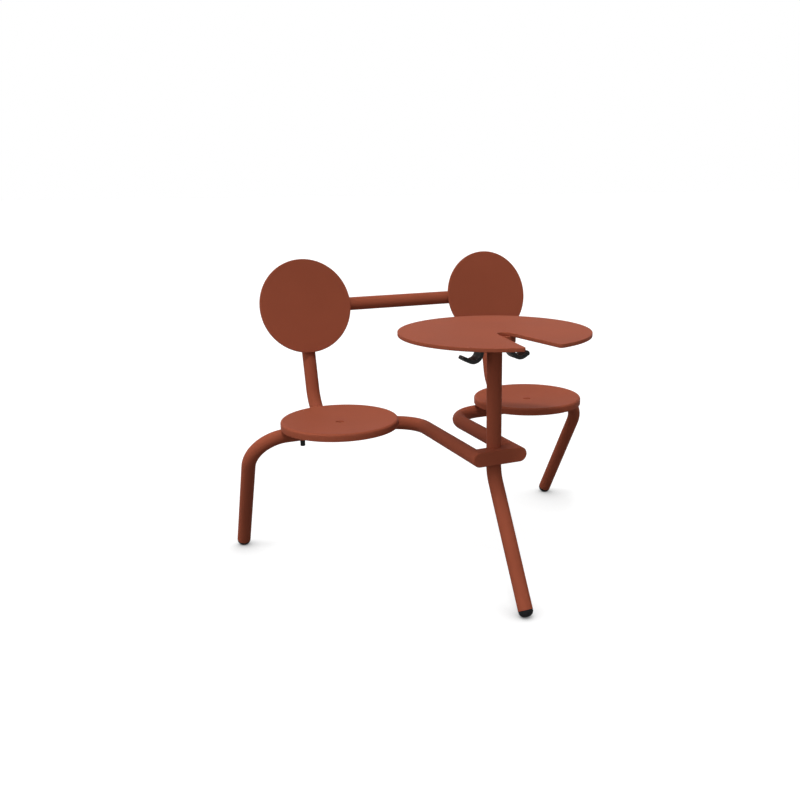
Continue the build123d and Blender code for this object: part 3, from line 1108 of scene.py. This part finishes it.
@dataclass
class Seats(SubAssembly):
    """Dished sheet seats with turned-down rims, their ribs and saddles."""

    sheet: float = 3 * MM
    edge_radius: float = 7 * MM
    dish: float = 10 * MM
    drain_radius: float = 4.5 * MM
    recess_radius: float = 12.5 * MM
    recess_depth: float = 3.3 * MM
    recess_draft: float = 1.0 * MM
    recess_edge: float = 0.5 * MM
    hem_radius: float = 1.0 * MM
    sides: int = 192
    dish_steps: int = 28
    edge_steps: int = 10
    inner_steps: int = 6
    hem_steps: int = 4
    rim_wear: float = 1.0
    brink_wear: float = 0.6
    hem_wear: float = 0.5

    def build(self) -> None:
        """Make and dress both seats."""
        for side in Side:
            self.pan(side)
            Piece.keep(COAT, f"{side.word}_seat_rib")
            Piece.keep(PLASTIC, f"{side.word}_seat_saddles")

    def pan(self, side: Side) -> None:
        """One seat pan.

        Args:
            side: The seat's side.
        """
        node = f"{side.word}_seat"
        box = NodeBox.of(node)
        place = Matrix.Translation(Vector((box.centre.x, box.centre.y, box.high.z)))
        profile = self.section(box.size.x / 2, box.size.z)
        piece = Piece.turned(f"{side.word}_dished_seat", profile, self.sides, place, closed=True)
        Piece.finish(piece, COAT, node)

    def section(self, rim: float, depth: float) -> list[ProfilePoint]:
        """Section of the pan, with its rim's top at height 0.

        Args:
            rim: Radius of the rim.
            depth: Depth of the rim.

        Returns:
            Radius, height and edge wear of the section's points, in a closed loop.
        """
        lip = rim - self.edge_radius
        inner = rim - self.sheet
        sphere = (lip**2 + self.dish**2) / (2 * self.dish)

        def bowl(radius: float, below: float) -> float:
            """Height of the dish at a radius, or of its underside at a depth below it."""
            return sphere - self.dish - math.sqrt((sphere + below) ** 2 - radius**2)

        def sweep(start: float, end: float, below: float) -> list[FlatPoint]:
            """Points of the dish between two radii.

            Args:
                start: The first radius.
                end: The last radius.
                below: Depth below the dish's upper face.

            Returns:
                Radius and height of the points.
            """
            steps = range(self.dish_steps + 1)
            radii = [start + (end - start) * step / self.dish_steps for step in steps]
            return [(radius, bowl(radius, below)) for radius in radii]

        hem = self.hem_radius
        brink = (self.recess_radius, bowl(self.recess_radius, 0))
        floor = brink[1] - self.recess_depth
        foot = (self.recess_radius - self.recess_draft, floor)
        drain = (self.drain_radius, floor)
        mouth = (self.drain_radius, floor - self.sheet)
        heel = (foot[0] + self.sheet, floor - self.sheet)
        edge = self.recess_edge
        near = self.recess_radius + 2 * edge
        bend = (lip, -self.edge_radius)
        return [
            *worn(arc((rim - hem, hem - depth), hem, -90, 0, self.hem_steps), self.hem_wear),
            *worn(arc(bend, self.edge_radius, 0, 90, self.edge_steps), self.rim_wear),
            *worn(sweep(lip - hem, near, 0), 0.0),
            *worn(softened((near, bowl(near, 0)), brink, foot, edge), self.brink_wear),
            *worn(softened(brink, foot, drain, edge), 0.0),
            *worn(softened(foot, drain, mouth, edge), self.brink_wear),
            *worn([mouth, heel], 0.0),
            *worn(sweep(self.recess_radius + self.sheet, lip, self.sheet), 0.0),
            *worn(arc(bend, self.edge_radius - self.sheet, 90, 0, self.inner_steps)[1:], 0.0),
            *worn(arc((inner + hem, hem - depth), hem, 180, 270, self.hem_steps), self.hem_wear),
        ]


@dataclass
class Backrests(SubAssembly):
    """Round plates with softened edges on plastic saddles."""

    thickness: float = 6 * MM
    gap: float = 4.2 * MM
    edge_radius: float = 1.8 * MM
    border: float = 5 * MM
    inset: float = 0.1 * MM
    sides: int = 192
    edge_steps: int = 6
    rear_wear: float = 0.8
    front_wear: float = 1.0

    def build(self) -> None:
        """Make and dress both backrests."""
        for side in Side:
            self.plate(side)
            Piece.keep(PLASTIC, f"{side.word}_backrest_saddles")

    def plate(self, side: Side) -> None:
        """One backrest plate, parallel to the tube behind it.

        Args:
            side: The backrest's side.
        """
        node = f"{side.word}_backrest"
        radius = NodeBox.of(node).size.x / 2 - self.inset
        back = self.plan.tube_radius + self.gap
        front = back + self.thickness
        edge = self.edge_radius
        profile = [
            (radius - edge - self.border, back, 0.0),
            *worn(arc((radius - edge, back + edge), edge, -90, 0, self.edge_steps), self.rear_wear),
            *worn(arc((radius - edge, front - edge), edge, 0, 90, self.edge_steps), self.front_wear),
            (radius - edge - self.border, front, 0.0),
        ]
        place = self.plan.back_plane
        if side is Side.LEFT:
            place = Matrix.Translation(Vector((-2 * self.plan.seat_x, 0, 0))) @ place
        piece = Piece.turned(f"{side.word}_round_backrest", profile, self.sides, place)
        Piece.finish(piece, COAT, node)


@dataclass
class Table(SubAssembly):
    """Round notched plate and the flange that carries it."""

    top_edge: float = 1.5 * MM
    lower_edge: float = 1.5 * MM
    border: float = 1.5 * MM
    notch_radius: float = 21 * MM
    notch_offset: float = 59 * MM
    notch_angle: float = 8.0
    notch_corner: float = 8 * MM
    rim_steps: int = 200
    notch_steps: int = 28
    corner_steps: int = 10
    lower_steps: int = 5
    top_steps: int = 7
    lower_wear: float = 0.8
    top_wear: float = 1.0
    flange_wall: float = 3 * MM
    flange_edge: float = 0.8 * MM
    flange_sides: int = 128
    flange_steps: int = 4
    flange_wear: float = 0.6
    skirt_wear: float = 1.0

    def build(self) -> None:
        """Make and dress the table."""
        self.plate()
        self.flange()

    def plate(self) -> None:
        """The table's plate."""
        box = NodeBox.of("tabletop")
        bottom, top = box.low.z, box.high.z
        low, high = self.lower_edge, self.top_edge
        below = arc((0, low), low, -90, 0, self.lower_steps)
        above = arc((0, 0), high, 0, 90, self.top_steps)
        levels = [
            (low + self.border, bottom, 0.0),
            *[(low - x, bottom + z, self.lower_wear) for x, z in below],
            *[(high - x, top - high + z, self.top_wear) for x, z in above],
            (high + self.border, top, 0.0),
        ]
        rings = [self.outline(box.size.x / 2, inset, height) for inset, height, _ in levels]
        piece = Piece.loft("notched_tabletop", rings, [wear for _, _, wear in levels])
        Piece.finish(piece, COAT, "tabletop")

    def outline(self, radius: float, inset: float, height: float) -> list[Vector]:
        """Outline of the plate, drawn in by an inset.

        Args:
            radius: Radius of the whole plate.
            inset: How far inside its edge the outline lies.
            height: Height of the outline.

        Returns:
            Points round the rim, in along one side of the notch and out along the other.
        """
        turn = math.radians(self.notch_angle)
        inward = Vector((math.cos(turn), math.sin(turn)))
        outward = Vector((math.sin(turn), -math.cos(turn)))
        notch = Vector((0, -self.notch_offset))
        side = notch.dot(inward) + self.notch_radius + self.notch_corner
        reach = math.sqrt((radius - self.notch_corner) ** 2 - side**2)
        corner = inward * side + outward * reach
        lean = math.degrees(math.atan2(corner.y, corner.x))
        flank = 180 + self.notch_angle
        small = self.notch_corner - inset
        large = self.notch_radius + inset
        other = (-corner.x, corner.y)
        flat = [
            *arc((0, 0), radius - inset, lean, 180 - lean, self.rim_steps),
            *arc(other, small, 180 - lean, 540 - flank, self.corner_steps)[1:],
            *arc(tuple(notch), large, 360 - flank, flank - 180, self.notch_steps),
            *arc(tuple(corner), small, flank, 360 + lean, self.corner_steps)[:-1],
        ]
        return [Vector((x, y + self.plan.post_y, height)) for x, y in flat]

    def flange(self) -> None:
        """Round flange plate with a skirt, open below."""
        box = NodeBox.of("table_flange")
        radius = box.size.x / 2
        inner = radius - self.flange_wall
        edge = self.flange_edge
        ledge = self.plan.post_top - box.low.z
        depth = box.size.z
        steps = self.flange_steps
        profile = [
            (self.plan.tube_radius, depth, 0.0),
            *worn(arc((radius - edge, depth - edge), edge, 90, 0, steps), self.flange_wear),
            *worn(arc((radius - edge, edge), edge, 0, -90, steps), self.skirt_wear),
            *worn(arc((inner + edge, edge), edge, -90, -180, steps), self.flange_wear),
            *worn(arc((inner - edge, ledge - edge), edge, 0, 90, steps), 0.0),
            (self.plan.tube_radius, ledge, 0.0),
        ]
        place = Matrix.Translation(Vector((box.centre.x, box.centre.y, box.low.z)))
        piece = Piece.turned("skirted_flange", profile, self.flange_sides, place)
        Piece.finish(piece, COAT, "table_flange")


@dataclass(frozen=True)
class HookStation:
    """One place along a hook's strip, in the XZ plane."""

    point: Vector
    course: Vector
    thickness: float
    # How pale the inner face is painted here: rub wear and painted light.
    rub: float


@dataclass
class BagHooks(SubAssembly):
    """Moulded strips that leave the flange, turn down, swell and end in a rounded rising tongue."""

    base_thickness: float = 8 * MM
    thickness: float = 11 * MM
    base_x: float = 24.5 * MM
    back_x: float = 41.9 * MM
    neck: float = 735.5 * MM
    swell: float = 730.5 * MM
    shank_end: float = 713 * MM
    bend_radius: float = 30 * MM
    shoulder_radius: float = 6 * MM
    tongue_angle: float = 30.0
    tongue: float = 20 * MM
    tip_radius: float = 9 * MM
    edge_radius: float = 1.8 * MM
    edge_limit: float = 0.9
    tip_thinning: float = 0.94
    swell_shares: tuple[float, ...] = (0.0, 0.15, 0.35, 0.65, 0.85, 1.0)
    edge_steps: int = 4
    shoulder_steps: int = 8
    bend_steps: int = 28
    tip_steps: int = 12
    # Paler tone of the strip: partly rub wear, partly painted light on the inner faces that the table
    # shades.
    shank_rub: float = 0.2
    strap_rub: float = 1.0
    strap_start: float = 0.5
    edge_rub: float = 0.1
    face_margin: float = 0.3

    def build(self) -> None:
        """Make and dress both hooks."""
        for side in Side:
            self.hook(side)

    def stations(self) -> list[HookStation]:
        """Middle line of the right hook's strip, from its base to where its tip begins.

        Returns:
            Places with the strip's course and thickness.
        """
        thin, thick = self.base_thickness, self.thickness
        middle = self.plan.post_top - thin / 2
        shank_x = self.back_x + thin / 2
        shoulder = (shank_x - self.shoulder_radius, middle - self.shoulder_radius)
        bend = (self.back_x + self.bend_radius, self.shank_end)
        down = Vector((0, -1))
        turn = math.radians(self.tongue_angle)
        rise = Vector((math.cos(turn), math.sin(turn)))
        dull, bright = self.shank_rub, self.strap_rub
        line = [HookStation(Vector((self.base_x, middle)), Vector((1, 0)), thin, dull)]
        for x, z in arc(shoulder, self.shoulder_radius, 90, 0, self.shoulder_steps):
            course = Vector((z - shoulder[1], shoulder[0] - x)).normalized()
            line.append(HookStation(Vector((x, z)), course, thin, dull))
        for share in self.swell_shares:
            width = thin + (thick - thin) * eased(share)
            height = self.neck + (self.swell - self.neck) * share
            line.append(HookStation(Vector((self.back_x + width / 2, height)), down, width, dull))
        angles = (180, 270 + self.tongue_angle)
        turned = arc(bend, self.bend_radius - thick / 2, *angles, self.bend_steps)
        for step, (x, z) in enumerate(turned):
            course = Vector((bend[1] - z, x - bend[0])).normalized()
            # Paler round the bend's inner face: rub wear and painted light.
            rub = dull + (bright - dull) * min(step / (self.strap_start * self.bend_steps), 1)
            line.append(HookStation(Vector((x, z)), course, thick, rub))
        end = line[-1].point + rise * (self.tongue - self.tip_radius)
        return [*line, HookStation(end, rise, thick, bright)]

    def rounding(self, radius: float, left: float) -> float:
        """How far a rounded end has drawn in, at a distance left to its very end."""
        gone = max(radius - left, 0.0)
        return radius - math.sqrt(radius**2 - gone**2)

    def ring(self, half_width: float, half_thickness: float) -> list[FlatPoint]:
        """Rounded rectangle of the strip.

        Args:
            half_width: Half the strip's width.
            half_thickness: Half its thickness.

        Returns:
            Points across the strip's width and thickness.
        """
        edge = min(self.edge_radius, self.edge_limit * half_thickness)
        x = half_width - edge
        y = half_thickness - edge
        corners = [(x, y), (-x, y), (-x, -y), (x, -y)]
        points = []
        for quarter, corner in enumerate(corners):
            points += arc(corner, edge, 90 * quarter, 90 * quarter + 90, self.edge_steps)
        return points

    def hook(self, side: Side) -> None:
        """One hook.

        Args:
            side: The side of the post that it hangs on.
        """
        node = f"{side.word}_bag_hook"
        half_width = NodeBox.of(node).size.y / 2
        line = self.stations()
        shapes = [(item, half_width, item.thickness / 2) for item in line]
        last = line[-1]
        half = last.thickness / 2
        for step in range(1, self.tip_steps + 1):
            past = self.tip_radius * math.sin(math.pi / 2 * step / self.tip_steps)
            left = self.tip_radius - past
            item = replace(last, point=last.point + last.course * past)
            width = half_width - self.rounding(self.tip_radius, left)
            shapes.append((item, width, half - self.tip_thinning * self.rounding(half, left)))
        rings = []
        rubs_and_light = []
        for item, width, half in shapes:
            normal = Vector((-item.course.y, item.course.x))
            for across, through in self.ring(width, half):
                place = item.point + normal * through
                rings.append(Vector((place.x * side.value, self.plan.post_y + across, place.y)))
                # Inner faces get the station's painted light and rub; the other faces get a little of
                # the same.
                inner = through > half - self.face_margin * self.edge_radius
                rubs_and_light.append(item.rub if inner else self.edge_rub)
        count = len(rings) // len(shapes)
        rings = [rings[index : index + count] for index in range(0, len(rings), count)]
        piece = Piece.loft(f"{side.word}_moulded_hook", rings, rubs_and_light)
        Piece.finish(piece, PLASTIC, node)


@dataclass(frozen=True)
class ScrewSize:
    """Radii and lengths of a round-headed screw, with half the width across its socket's flats."""

    head: float
    height: float
    socket: float
    shank: float
    length: float


@dataclass
class Fasteners(SubAssembly):
    """Screws, bolts and nut caps, each kind one geometry tree's instances on its points."""

    AXIS = "axis"
    ACROSS = "across"
    SOCKET_FLATS = 6
    CROWN_TURNS = (0.0, 0.35, 0.7, 1.1, math.pi / 2)

    seat_spacing: float = 200 * MM
    back_arm: float = 125 * MM
    cap_radius: float = 7.5 * MM
    cap_length: float = 17 * MM
    cap_edge: float = 1.5 * MM
    cap_collar: float = 3.2 * MM
    cap_wear: float = 0.03
    flute_depth: float = 0.4 * MM
    flute_start: float = 4.48 * MM
    flute_end: float = 2.4 * MM
    flutes: int = 12
    dimple_radius: float = 3.375 * MM
    dimple_floor: float = 2.55 * MM
    dimple_depth: float = 0.45 * MM
    cap_sides: int = 72
    cap_edge_steps: int = 4
    table_screw_offset: float = 27 * MM
    hook_screw_x: float = 35 * MM
    hook_screw_y: float = 10 * MM
    hook_thickness: float = 8 * MM
    bolt_rise: float = 10.5 * MM
    table_screw_size: ScrewSize = ScrewSize(
        head=5.5 * MM, height=3.6 * MM, socket=2.0 * MM, shank=3.0 * MM, length=11.0 * MM
    )
    hook_screw_size: ScrewSize = ScrewSize(
        head=4.5 * MM, height=2.8 * MM, socket=1.6 * MM, shank=2.5 * MM, length=12.0 * MM
    )
    bolt_size: ScrewSize = ScrewSize(
        head=7.0 * MM, height=4.5 * MM, socket=2.5 * MM, shank=4.0 * MM, length=50.0 * MM
    )
    rim_share: float = 0.35
    crown_flat: float = 1.35
    tip_share: float = 0.8
    tip_chamfer: float = 0.3
    socket_bottom: float = 0.45
    socket_taper: float = 0.97
    screw_sides: int = 36
    tree: GeometryBoard = field(default_factory=fastener_tree)

    def build(self) -> None:
        """Make and dress every fastening."""
        self.caps()
        self.screws()
        Piece.keep(ZINC, "seat_studs", "seat_nuts", "backrest_studs", "backrest_nuts")

    def scatter(
        self,
        name: str,
        model: bpy.types.Object,
        places: Sequence[Stance],
        look: Finish,
        node: str,
        turn: float,
        seed: int,
    ) -> None:
        """Put one fastener on each of several places.

        Args:
            name: The piece's name.
            model: The fastener about the Z axis.
            places: Point, axis and crosswise direction of each.
            look: The finish.
            node: The node that the piece stands for.
            turn: The largest random turn about the axis.
            seed: The seed of the turns.
        """
        mesh = bpy.data.meshes.new(name)
        mesh.from_pydata([point for point, _, _ in places], [], [])
        for title, index in ((self.AXIS, 1), (self.ACROSS, 2)):
            layer = mesh.attributes.new(title, "FLOAT_VECTOR", "POINT")
            layer.data.foreach_set("vector", [value for place in places for value in place[index]])
        piece = Piece.from_mesh(name, mesh)
        values = {
            "Fastener": model,
            "Scale": 1.0,
            "Turn": turn,
            "Seed": seed,
            GeometryBoard.FINISH: look.material(),
        }
        self.tree.run(piece, values)
        Piece.smooth(piece.data)
        Piece.finish(piece, look, node)

    def cap_model(self) -> bpy.types.Object:
        """A fluted nut cap under a tube that runs along X through the origin.

        Returns:
            The model, shaped to the tube at its open end.
        """
        tube = self.plan.tube_radius
        radius = self.cap_radius
        end = -tube - self.cap_length
        edge = self.cap_edge
        waist = end + edge + self.cap_collar

        def fluted(depth: float, height: float) -> list[Vector]:
            """A ring whose radius waves between the flutes.

            Args:
                depth: Depth of the flutes.
                height: Height of the ring.

            Returns:
                The ring's points.
            """
            ring = circle(1.0, height, self.cap_sides)
            for index, point in enumerate(ring):
                wave = 0.5 - 0.5 * math.cos(FULL_TURN * self.flutes * index / self.cap_sides)
                point.xy *= radius - depth * wave
            return ring

        mouth = circle(radius, 0.0, self.cap_sides)
        for point in mouth:
            point.z = -math.sqrt(tube**2 - point.y**2)
        wall = [
            mouth,
            fluted(0.0, -tube - self.cap_collar),
            fluted(self.flute_depth, -tube - self.flute_start),
            fluted(self.flute_depth, waist),
        ]
        rounded = [
            *arc((radius - edge, end + edge), edge, 0, -90, self.cap_edge_steps),
            (self.dimple_radius, end),
            (self.dimple_floor, end + self.dimple_depth),
        ]
        tip = [fluted(0.0, end + self.flute_end)]
        tip += [circle(x, z, self.cap_sides) for x, z in rounded]
        wear = [0.0] * len(wall) + [self.cap_wear] * len(tip)
        return Piece.loft("nut_cap_model", wall + tip, wear)

    def caps(self) -> None:
        """Caps under the seat tubes and behind the backrest tube."""
        plan = self.plan
        half = self.seat_spacing / 2
        seat_places = []
        back_places = []
        rows = plan.back_plane.to_3x3()
        up, out = rows.col[1].copy(), rows.col[2].copy()
        for side in Side:
            for offset in (-half, half):
                point = Vector((side.value * (plan.seat_x + offset), plan.run_y, plan.run_z))
                seat_places.append((point, Z_AXIS, X_AXIS))
            for course in (X_AXIS, up):
                point = plan.back_top - self.back_arm * course
                back_places.append((mirrored([point], side)[0], out, course))
        sets = [
            ("moulded_seat_caps", seat_places, "seat_nut_caps"),
            ("moulded_backrest_caps", back_places, "backrest_nut_caps"),
        ]
        model = self.cap_model()
        for seed, (name, places, node) in enumerate(sets, start=1):
            self.scatter(name, model, places, PLASTIC, node, 0.0, seed)
        bpy.data.objects.remove(model)

    def screw_model(self, size: ScrewSize) -> bpy.types.Object:
        """A round-headed screw with a hexagon socket, its shank along +Z.

        Args:
            size: The screw's radii and lengths.

        Returns:
            The model, with its head below height 0.
        """
        count = self.screw_sides
        flat = FULL_TURN / self.SOCKET_FLATS

        def hexagon(height: float, scale: float = 1.0) -> list[Vector]:
            """A ring of points on the socket's hexagon.

            Args:
                height: Height of the ring.
                scale: The hexagon's size against the socket's mouth.

            Returns:
                The ring's points.
            """
            ring = circle(1.0, height, count)
            for index, point in enumerate(ring):
                turn = (FULL_TURN * index / count) % flat - flat / 2
                point.xy *= scale * size.socket / math.cos(turn)
            return ring

        rim = self.rim_share * size.height
        top = self.crown_flat * size.socket
        crown = []
        for turn in self.CROWN_TURNS:
            radius = top + (size.head - top) * math.cos(turn)
            crown.append(circle(radius, -rim - (size.height - rim) * math.sin(turn), count))
        rings = [
            circle(size.shank * self.tip_share, size.length, count),
            circle(size.shank, size.length - self.tip_chamfer * size.shank, count),
            circle(size.shank, 0.0, count),
            circle(size.head, 0.0, count),
            *crown,
            hexagon(-size.height),
            hexagon(-self.socket_bottom * size.height, self.socket_taper),
        ]
        return Piece.loft("screw_model", rings)

    def four(self, x: float, y: float, height: float) -> list[Stance]:
        """Four upright places about the post.

        Args:
            x: Distance from the post's axis along X.
            y: Distance from the post's axis along Y.
            height: Height of the places.

        Returns:
            Point, axis and crosswise direction of each.
        """
        signs = ((-1, -1), (-1, 1), (1, -1), (1, 1))
        points = [Vector((i * x, self.plan.post_y + j * y, height)) for i, j in signs]
        return [(point, Z_AXIS, X_AXIS) for point in points]

    def screws(self) -> None:
        """Screws of the table and the hooks, and the bolts of the coupling."""
        plan = self.plan
        ledge = plan.post_top
        behind = plan.post_y + plan.tube_radius
        under_flange = self.four(self.table_screw_offset, self.table_screw_offset, ledge)
        under_hooks = self.four(self.hook_screw_x, self.hook_screw_y, ledge - self.hook_thickness)
        behind_post = [
            (Vector((0, behind, plan.run_z + rise)), Vector((0, -1, 0)), X_AXIS)
            for rise in (-self.bolt_rise, self.bolt_rise)
        ]
        sets = [
            ("flange_screws", self.table_screw_size, under_flange, "table_screws"),
            ("hook_fixing_screws", self.hook_screw_size, under_hooks, "hook_screws"),
            ("coupling_button_bolts", self.bolt_size, behind_post, "coupling_bolts"),
        ]
        for seed, (name, size, places, node) in enumerate(sets, start=3):
            model = self.screw_model(size)
            self.scatter(name, model, places, ZINC, node, FULL_TURN, seed)
            bpy.data.objects.remove(model)


@dataclass
class Feet(SubAssembly):
    """Domed rubber feet plugged into the legs, flat where they meet the floor."""

    collar: float = 2 * MM
    round_radius: float = 17 * MM
    plug_depth: float = 3 * MM
    plug_wall: float = 3.1 * MM
    seam: float = 0.12 * MM
    lip: float = 0.6 * MM
    lip_end: float = 1.44 * MM
    groove_start: float = 1.8 * MM
    groove_end: float = 2.4 * MM
    groove_depth: float = 0.5 * MM
    sole_share: float = 0.5
    sides: int = 96
    lip_steps: int = 4
    dome_steps: int = 14
    dome_first: int = 2

    def build(self) -> None:
        """Make and dress the three feet."""
        plan = self.plan
        self.foot("front_domed_foot", plan.front_tube_end, plan.post_bend, "front_foot")
        for side in Side:
            end, bend = mirrored([plan.rear_tube_end, plan.leg_bend], side)
            self.foot(f"{side.word}_domed_foot", end, bend, f"{side.word}_foot")

    def foot(self, name: str, end: Vector, bend: Vector, node: str) -> None:
        """One foot.

        Args:
            name: The piece's name.
            end: End of the leg's tube.
            bend: Corner that the leg comes from.
            node: The node that the piece stands for.
        """
        radius = self.plan.tube_radius
        plug = radius - self.plug_wall
        waist = radius - self.groove_depth
        crown = radius - self.round_radius
        lip = (radius - self.lip, self.seam + self.lip)
        dome = arc((crown, self.collar), self.round_radius, 0, 90, self.dome_steps)
        points = [
            (plug, -self.plug_depth),
            (plug, self.seam),
            *arc(lip, self.lip, -90, 0, self.lip_steps),
            (radius, self.lip_end),
            (waist, self.groove_start),
            (waist, self.groove_end),
            *dome[self.dome_first :],
            (self.sole_share * crown, self.collar + self.round_radius),
        ]
        turn = (end - bend).to_track_quat("Z", "Y").to_matrix().to_4x4()
        place = Matrix.Translation(end) @ turn
        piece = Piece.turned(name, worn(points, 0.0), self.sides, place)
        self.cut_at_floor(piece.data)
        Piece.finish(piece, RUBBER, node)

    def cut_at_floor(self, mesh: bpy.types.Mesh) -> None:
        """Cut away what reaches below the floor and close the cut.

        Args:
            mesh: The foot's mesh, which is changed.
        """
        work = bmesh.new()
        work.from_mesh(mesh)
        everything = [*work.verts, *work.edges, *work.faces]
        cut = bmesh.ops.bisect_plane(
            work, geom=everything, plane_co=(0, 0, 0), plane_no=(0, 0, -1), clear_outer=True
        )
        rim = [item for item in cut["geom_cut"] if isinstance(item, bmesh.types.BMEdge)]
        bmesh.ops.contextual_create(work, geom=rim)
        work.to_mesh(mesh)
        work.free()
        Piece.outward(mesh)


@dataclass
class Studio(SubAssembly):
    """White floor and background, soft light from around and above, and the camera."""

    floor_reach: float = 40.0
    overhead: float = 0.5
    overhead_focus: float = 3.0
    from_left: float = 0.96
    from_front: float = 0.36
    from_rear: float = 0.68
    key: float = 62.0
    key_focus: float = 300.0
    key_bearing: float = 55.0
    key_elevation: float = 63.5
    floor_bounce: float = 0.155
    floor_seen: float = 0.3
    floor_glow: float = 0.87
    # Reach, depth and samples of the painted contact shadow on the floor.
    contact_reach: float = 0.2
    contact_tone: float = 0.02
    contact_samples: int = 16
    image_pixels: float = 800.0
    focal_pixels: float = 900.32
    principal_point: tuple[float, float] = (470.2, 445.95)
    sensor: float = 36.0
    eye_x: float = -1137.8 * MM
    eye_before_post: float = 2131.1 * MM
    eye_z: float = 1176.0 * MM
    pitch: float = 16.98
    heading: float = 26.56

    def build(self) -> None:
        """Set up the whole studio."""
        bpy.context.scene.view_settings.view_transform = "Standard"
        self.light()
        self.floor()
        self.camera()

    def light(self) -> None:
        """Soft light from around and above, a key light at the front, and white for the eye."""
        world = bpy.data.worlds.new("studio_sky")
        world.use_nodes = True
        board = NodeBoard(world.node_tree)
        bearing = math.radians(self.key_bearing)
        rise = math.radians(self.key_elevation)
        out = math.cos(rise)
        high = (-math.cos(bearing) * out, -math.sin(bearing) * out, math.sin(rise))
        level = board.maths("POWER", self.towards(board, high), self.key_focus) * self.key
        zenith = board.maths("POWER", self.towards(board, (0, 0, 1)), self.overhead_focus)
        level = level + zenith * self.overhead
        sides = {(-1, 0, 0): self.from_left, (0, -1, 0): self.from_front, (0, 1, 0): self.from_rear}
        for axis, strength in sides.items():
            level = level + self.towards(board, axis) * strength
        channels = {"Red": level, "Green": level, "Blue": level}
        tone = board.node("ShaderNodeCombineColor", None, channels)
        colour = board.mix(self.seen(board), tone, (1, 1, 1))
        sky = board.node("ShaderNodeBackground", None, {"Color": colour, "Strength": 1.0})
        board.node("ShaderNodeOutputWorld", None, {"Surface": sky}, None)
        bpy.context.scene.world = world

    def towards(self, board: NodeBoard, axis: Direction) -> Signal:
        """How far the sky's directions point along an axis, from 0 to 1.

        Args:
            board: The world's tree.
            axis: A direction of length 1.

        Returns:
            The signal, 0 behind the axis.
        """
        here = board.node("ShaderNodeTexCoord", None, None, "Generated")
        product = {"operation": "DOT_PRODUCT"}
        along = board.node("ShaderNodeVectorMath", product, {0: here, 1: axis}, "Value")
        return board.maths("MAXIMUM", along)

    def seen(self, board: NodeBoard) -> Signal:
        """Tell what the eye sees from what only lights the bench.

        Args:
            board: The tree of the world or of a material.

        Returns:
            1 for rays from the eye, by way of glass and mirrors too, and 0 for light that bounces.
        """
        rays = board.node("ShaderNodeLightPath", None, None, "Is Camera Ray")
        outputs = rays.socket.node.outputs
        for title in ("Is Glossy Ray", "Is Transmission Ray"):
            rays = board.maths("MAXIMUM", rays, Signal(board, outputs[title]))
        return rays

    def floor(self) -> None:
        """Floor that looks white, keeps the object's shadow from the lights, and has a painted
        contact shadow near the feet.
        """
        reach = self.floor_reach
        corners = [(-reach, -reach, 0), (reach, -reach, 0), (reach, reach, 0), (-reach, reach, 0)]
        mesh = bpy.data.meshes.new("studio_floor")
        mesh.from_pydata(corners, [], [(0, 1, 2, 3)])
        floor = Piece.from_mesh("studio_floor", mesh)
        mesh.materials.append(self.floor_material())

    def floor_material(self) -> bpy.types.Material:
        """White to the eye and in reflections, dim as a source of bounced light, with a painted
        contact shadow near the feet.

        Returns:
            The floor's material.
        """
        material = bpy.data.materials.new("white_studio_floor")
        material.use_nodes = True
        board = NodeBoard(material.node_tree)
        # Painted contact shadow: ambient occlusion darkens the floor's colour and its glow near the
        # feet.
        nearby = {"samples": self.contact_samples}
        reach = {"Distance": self.contact_reach}
        open_air = board.node("ShaderNodeAmbientOcclusion", nearby, reach, "AO")
        bounced, seen, glowing = (
            (level,) * 3 for level in (self.floor_bounce, self.floor_seen, self.floor_glow)
        )
        pale, bright = (
            board.mix(open_air, shade(grey, self.contact_tone), grey) for grey in (seen, glowing)
        )
        dim = board.node("ShaderNodeBsdfDiffuse", None, {"Color": opaque(bounced)})
        lit = board.node("ShaderNodeBsdfDiffuse", None, {"Color": pale})
        glow = board.node("ShaderNodeEmission", None, {"Color": bright, "Strength": 1.0})
        white = board.node("ShaderNodeAddShader", None, {0: lit, 1: glow})
        shader = board.node("ShaderNodeMixShader", None, {"Fac": self.seen(board), 1: dim, 2: white})
        board.node("ShaderNodeOutputMaterial", None, {"Surface": shader}, None)
        return material

    def camera(self) -> None:
        """Camera at the photograph's place, with its off-centre frame."""
        data = bpy.data.cameras.new("photograph_view")
        half = (self.image_pixels - 1) / 2
        data.sensor_width = self.sensor
        data.lens = self.focal_pixels * self.sensor / self.image_pixels
        data.shift_x = (half - self.principal_point[0]) / self.image_pixels
        data.shift_y = (self.principal_point[1] - half) / self.image_pixels
        camera = bpy.data.objects.new("photograph_view", data)
        camera.location = (self.eye_x, self.plan.post_y - self.eye_before_post, self.eye_z)
        camera.rotation_euler = (math.radians(90 - self.pitch), 0, math.radians(-self.heading))
        bpy.context.scene.collection.objects.link(camera)
        bpy.context.scene.camera = camera


def main() -> None:
    """Build the bench's sub-assemblies in order, then the studio."""
    logging.basicConfig(level=logging.INFO, format="%(name)s: %(message)s")
    plan = BenchPlan.from_frame()
    for part in (Tubework, Seats, Backrests, Table, BagHooks, Fasteners, Feet, Studio):
        LOG.info("building %s", part.__name__)
        part(plan).build()


if __name__ == "__main__":
    main()
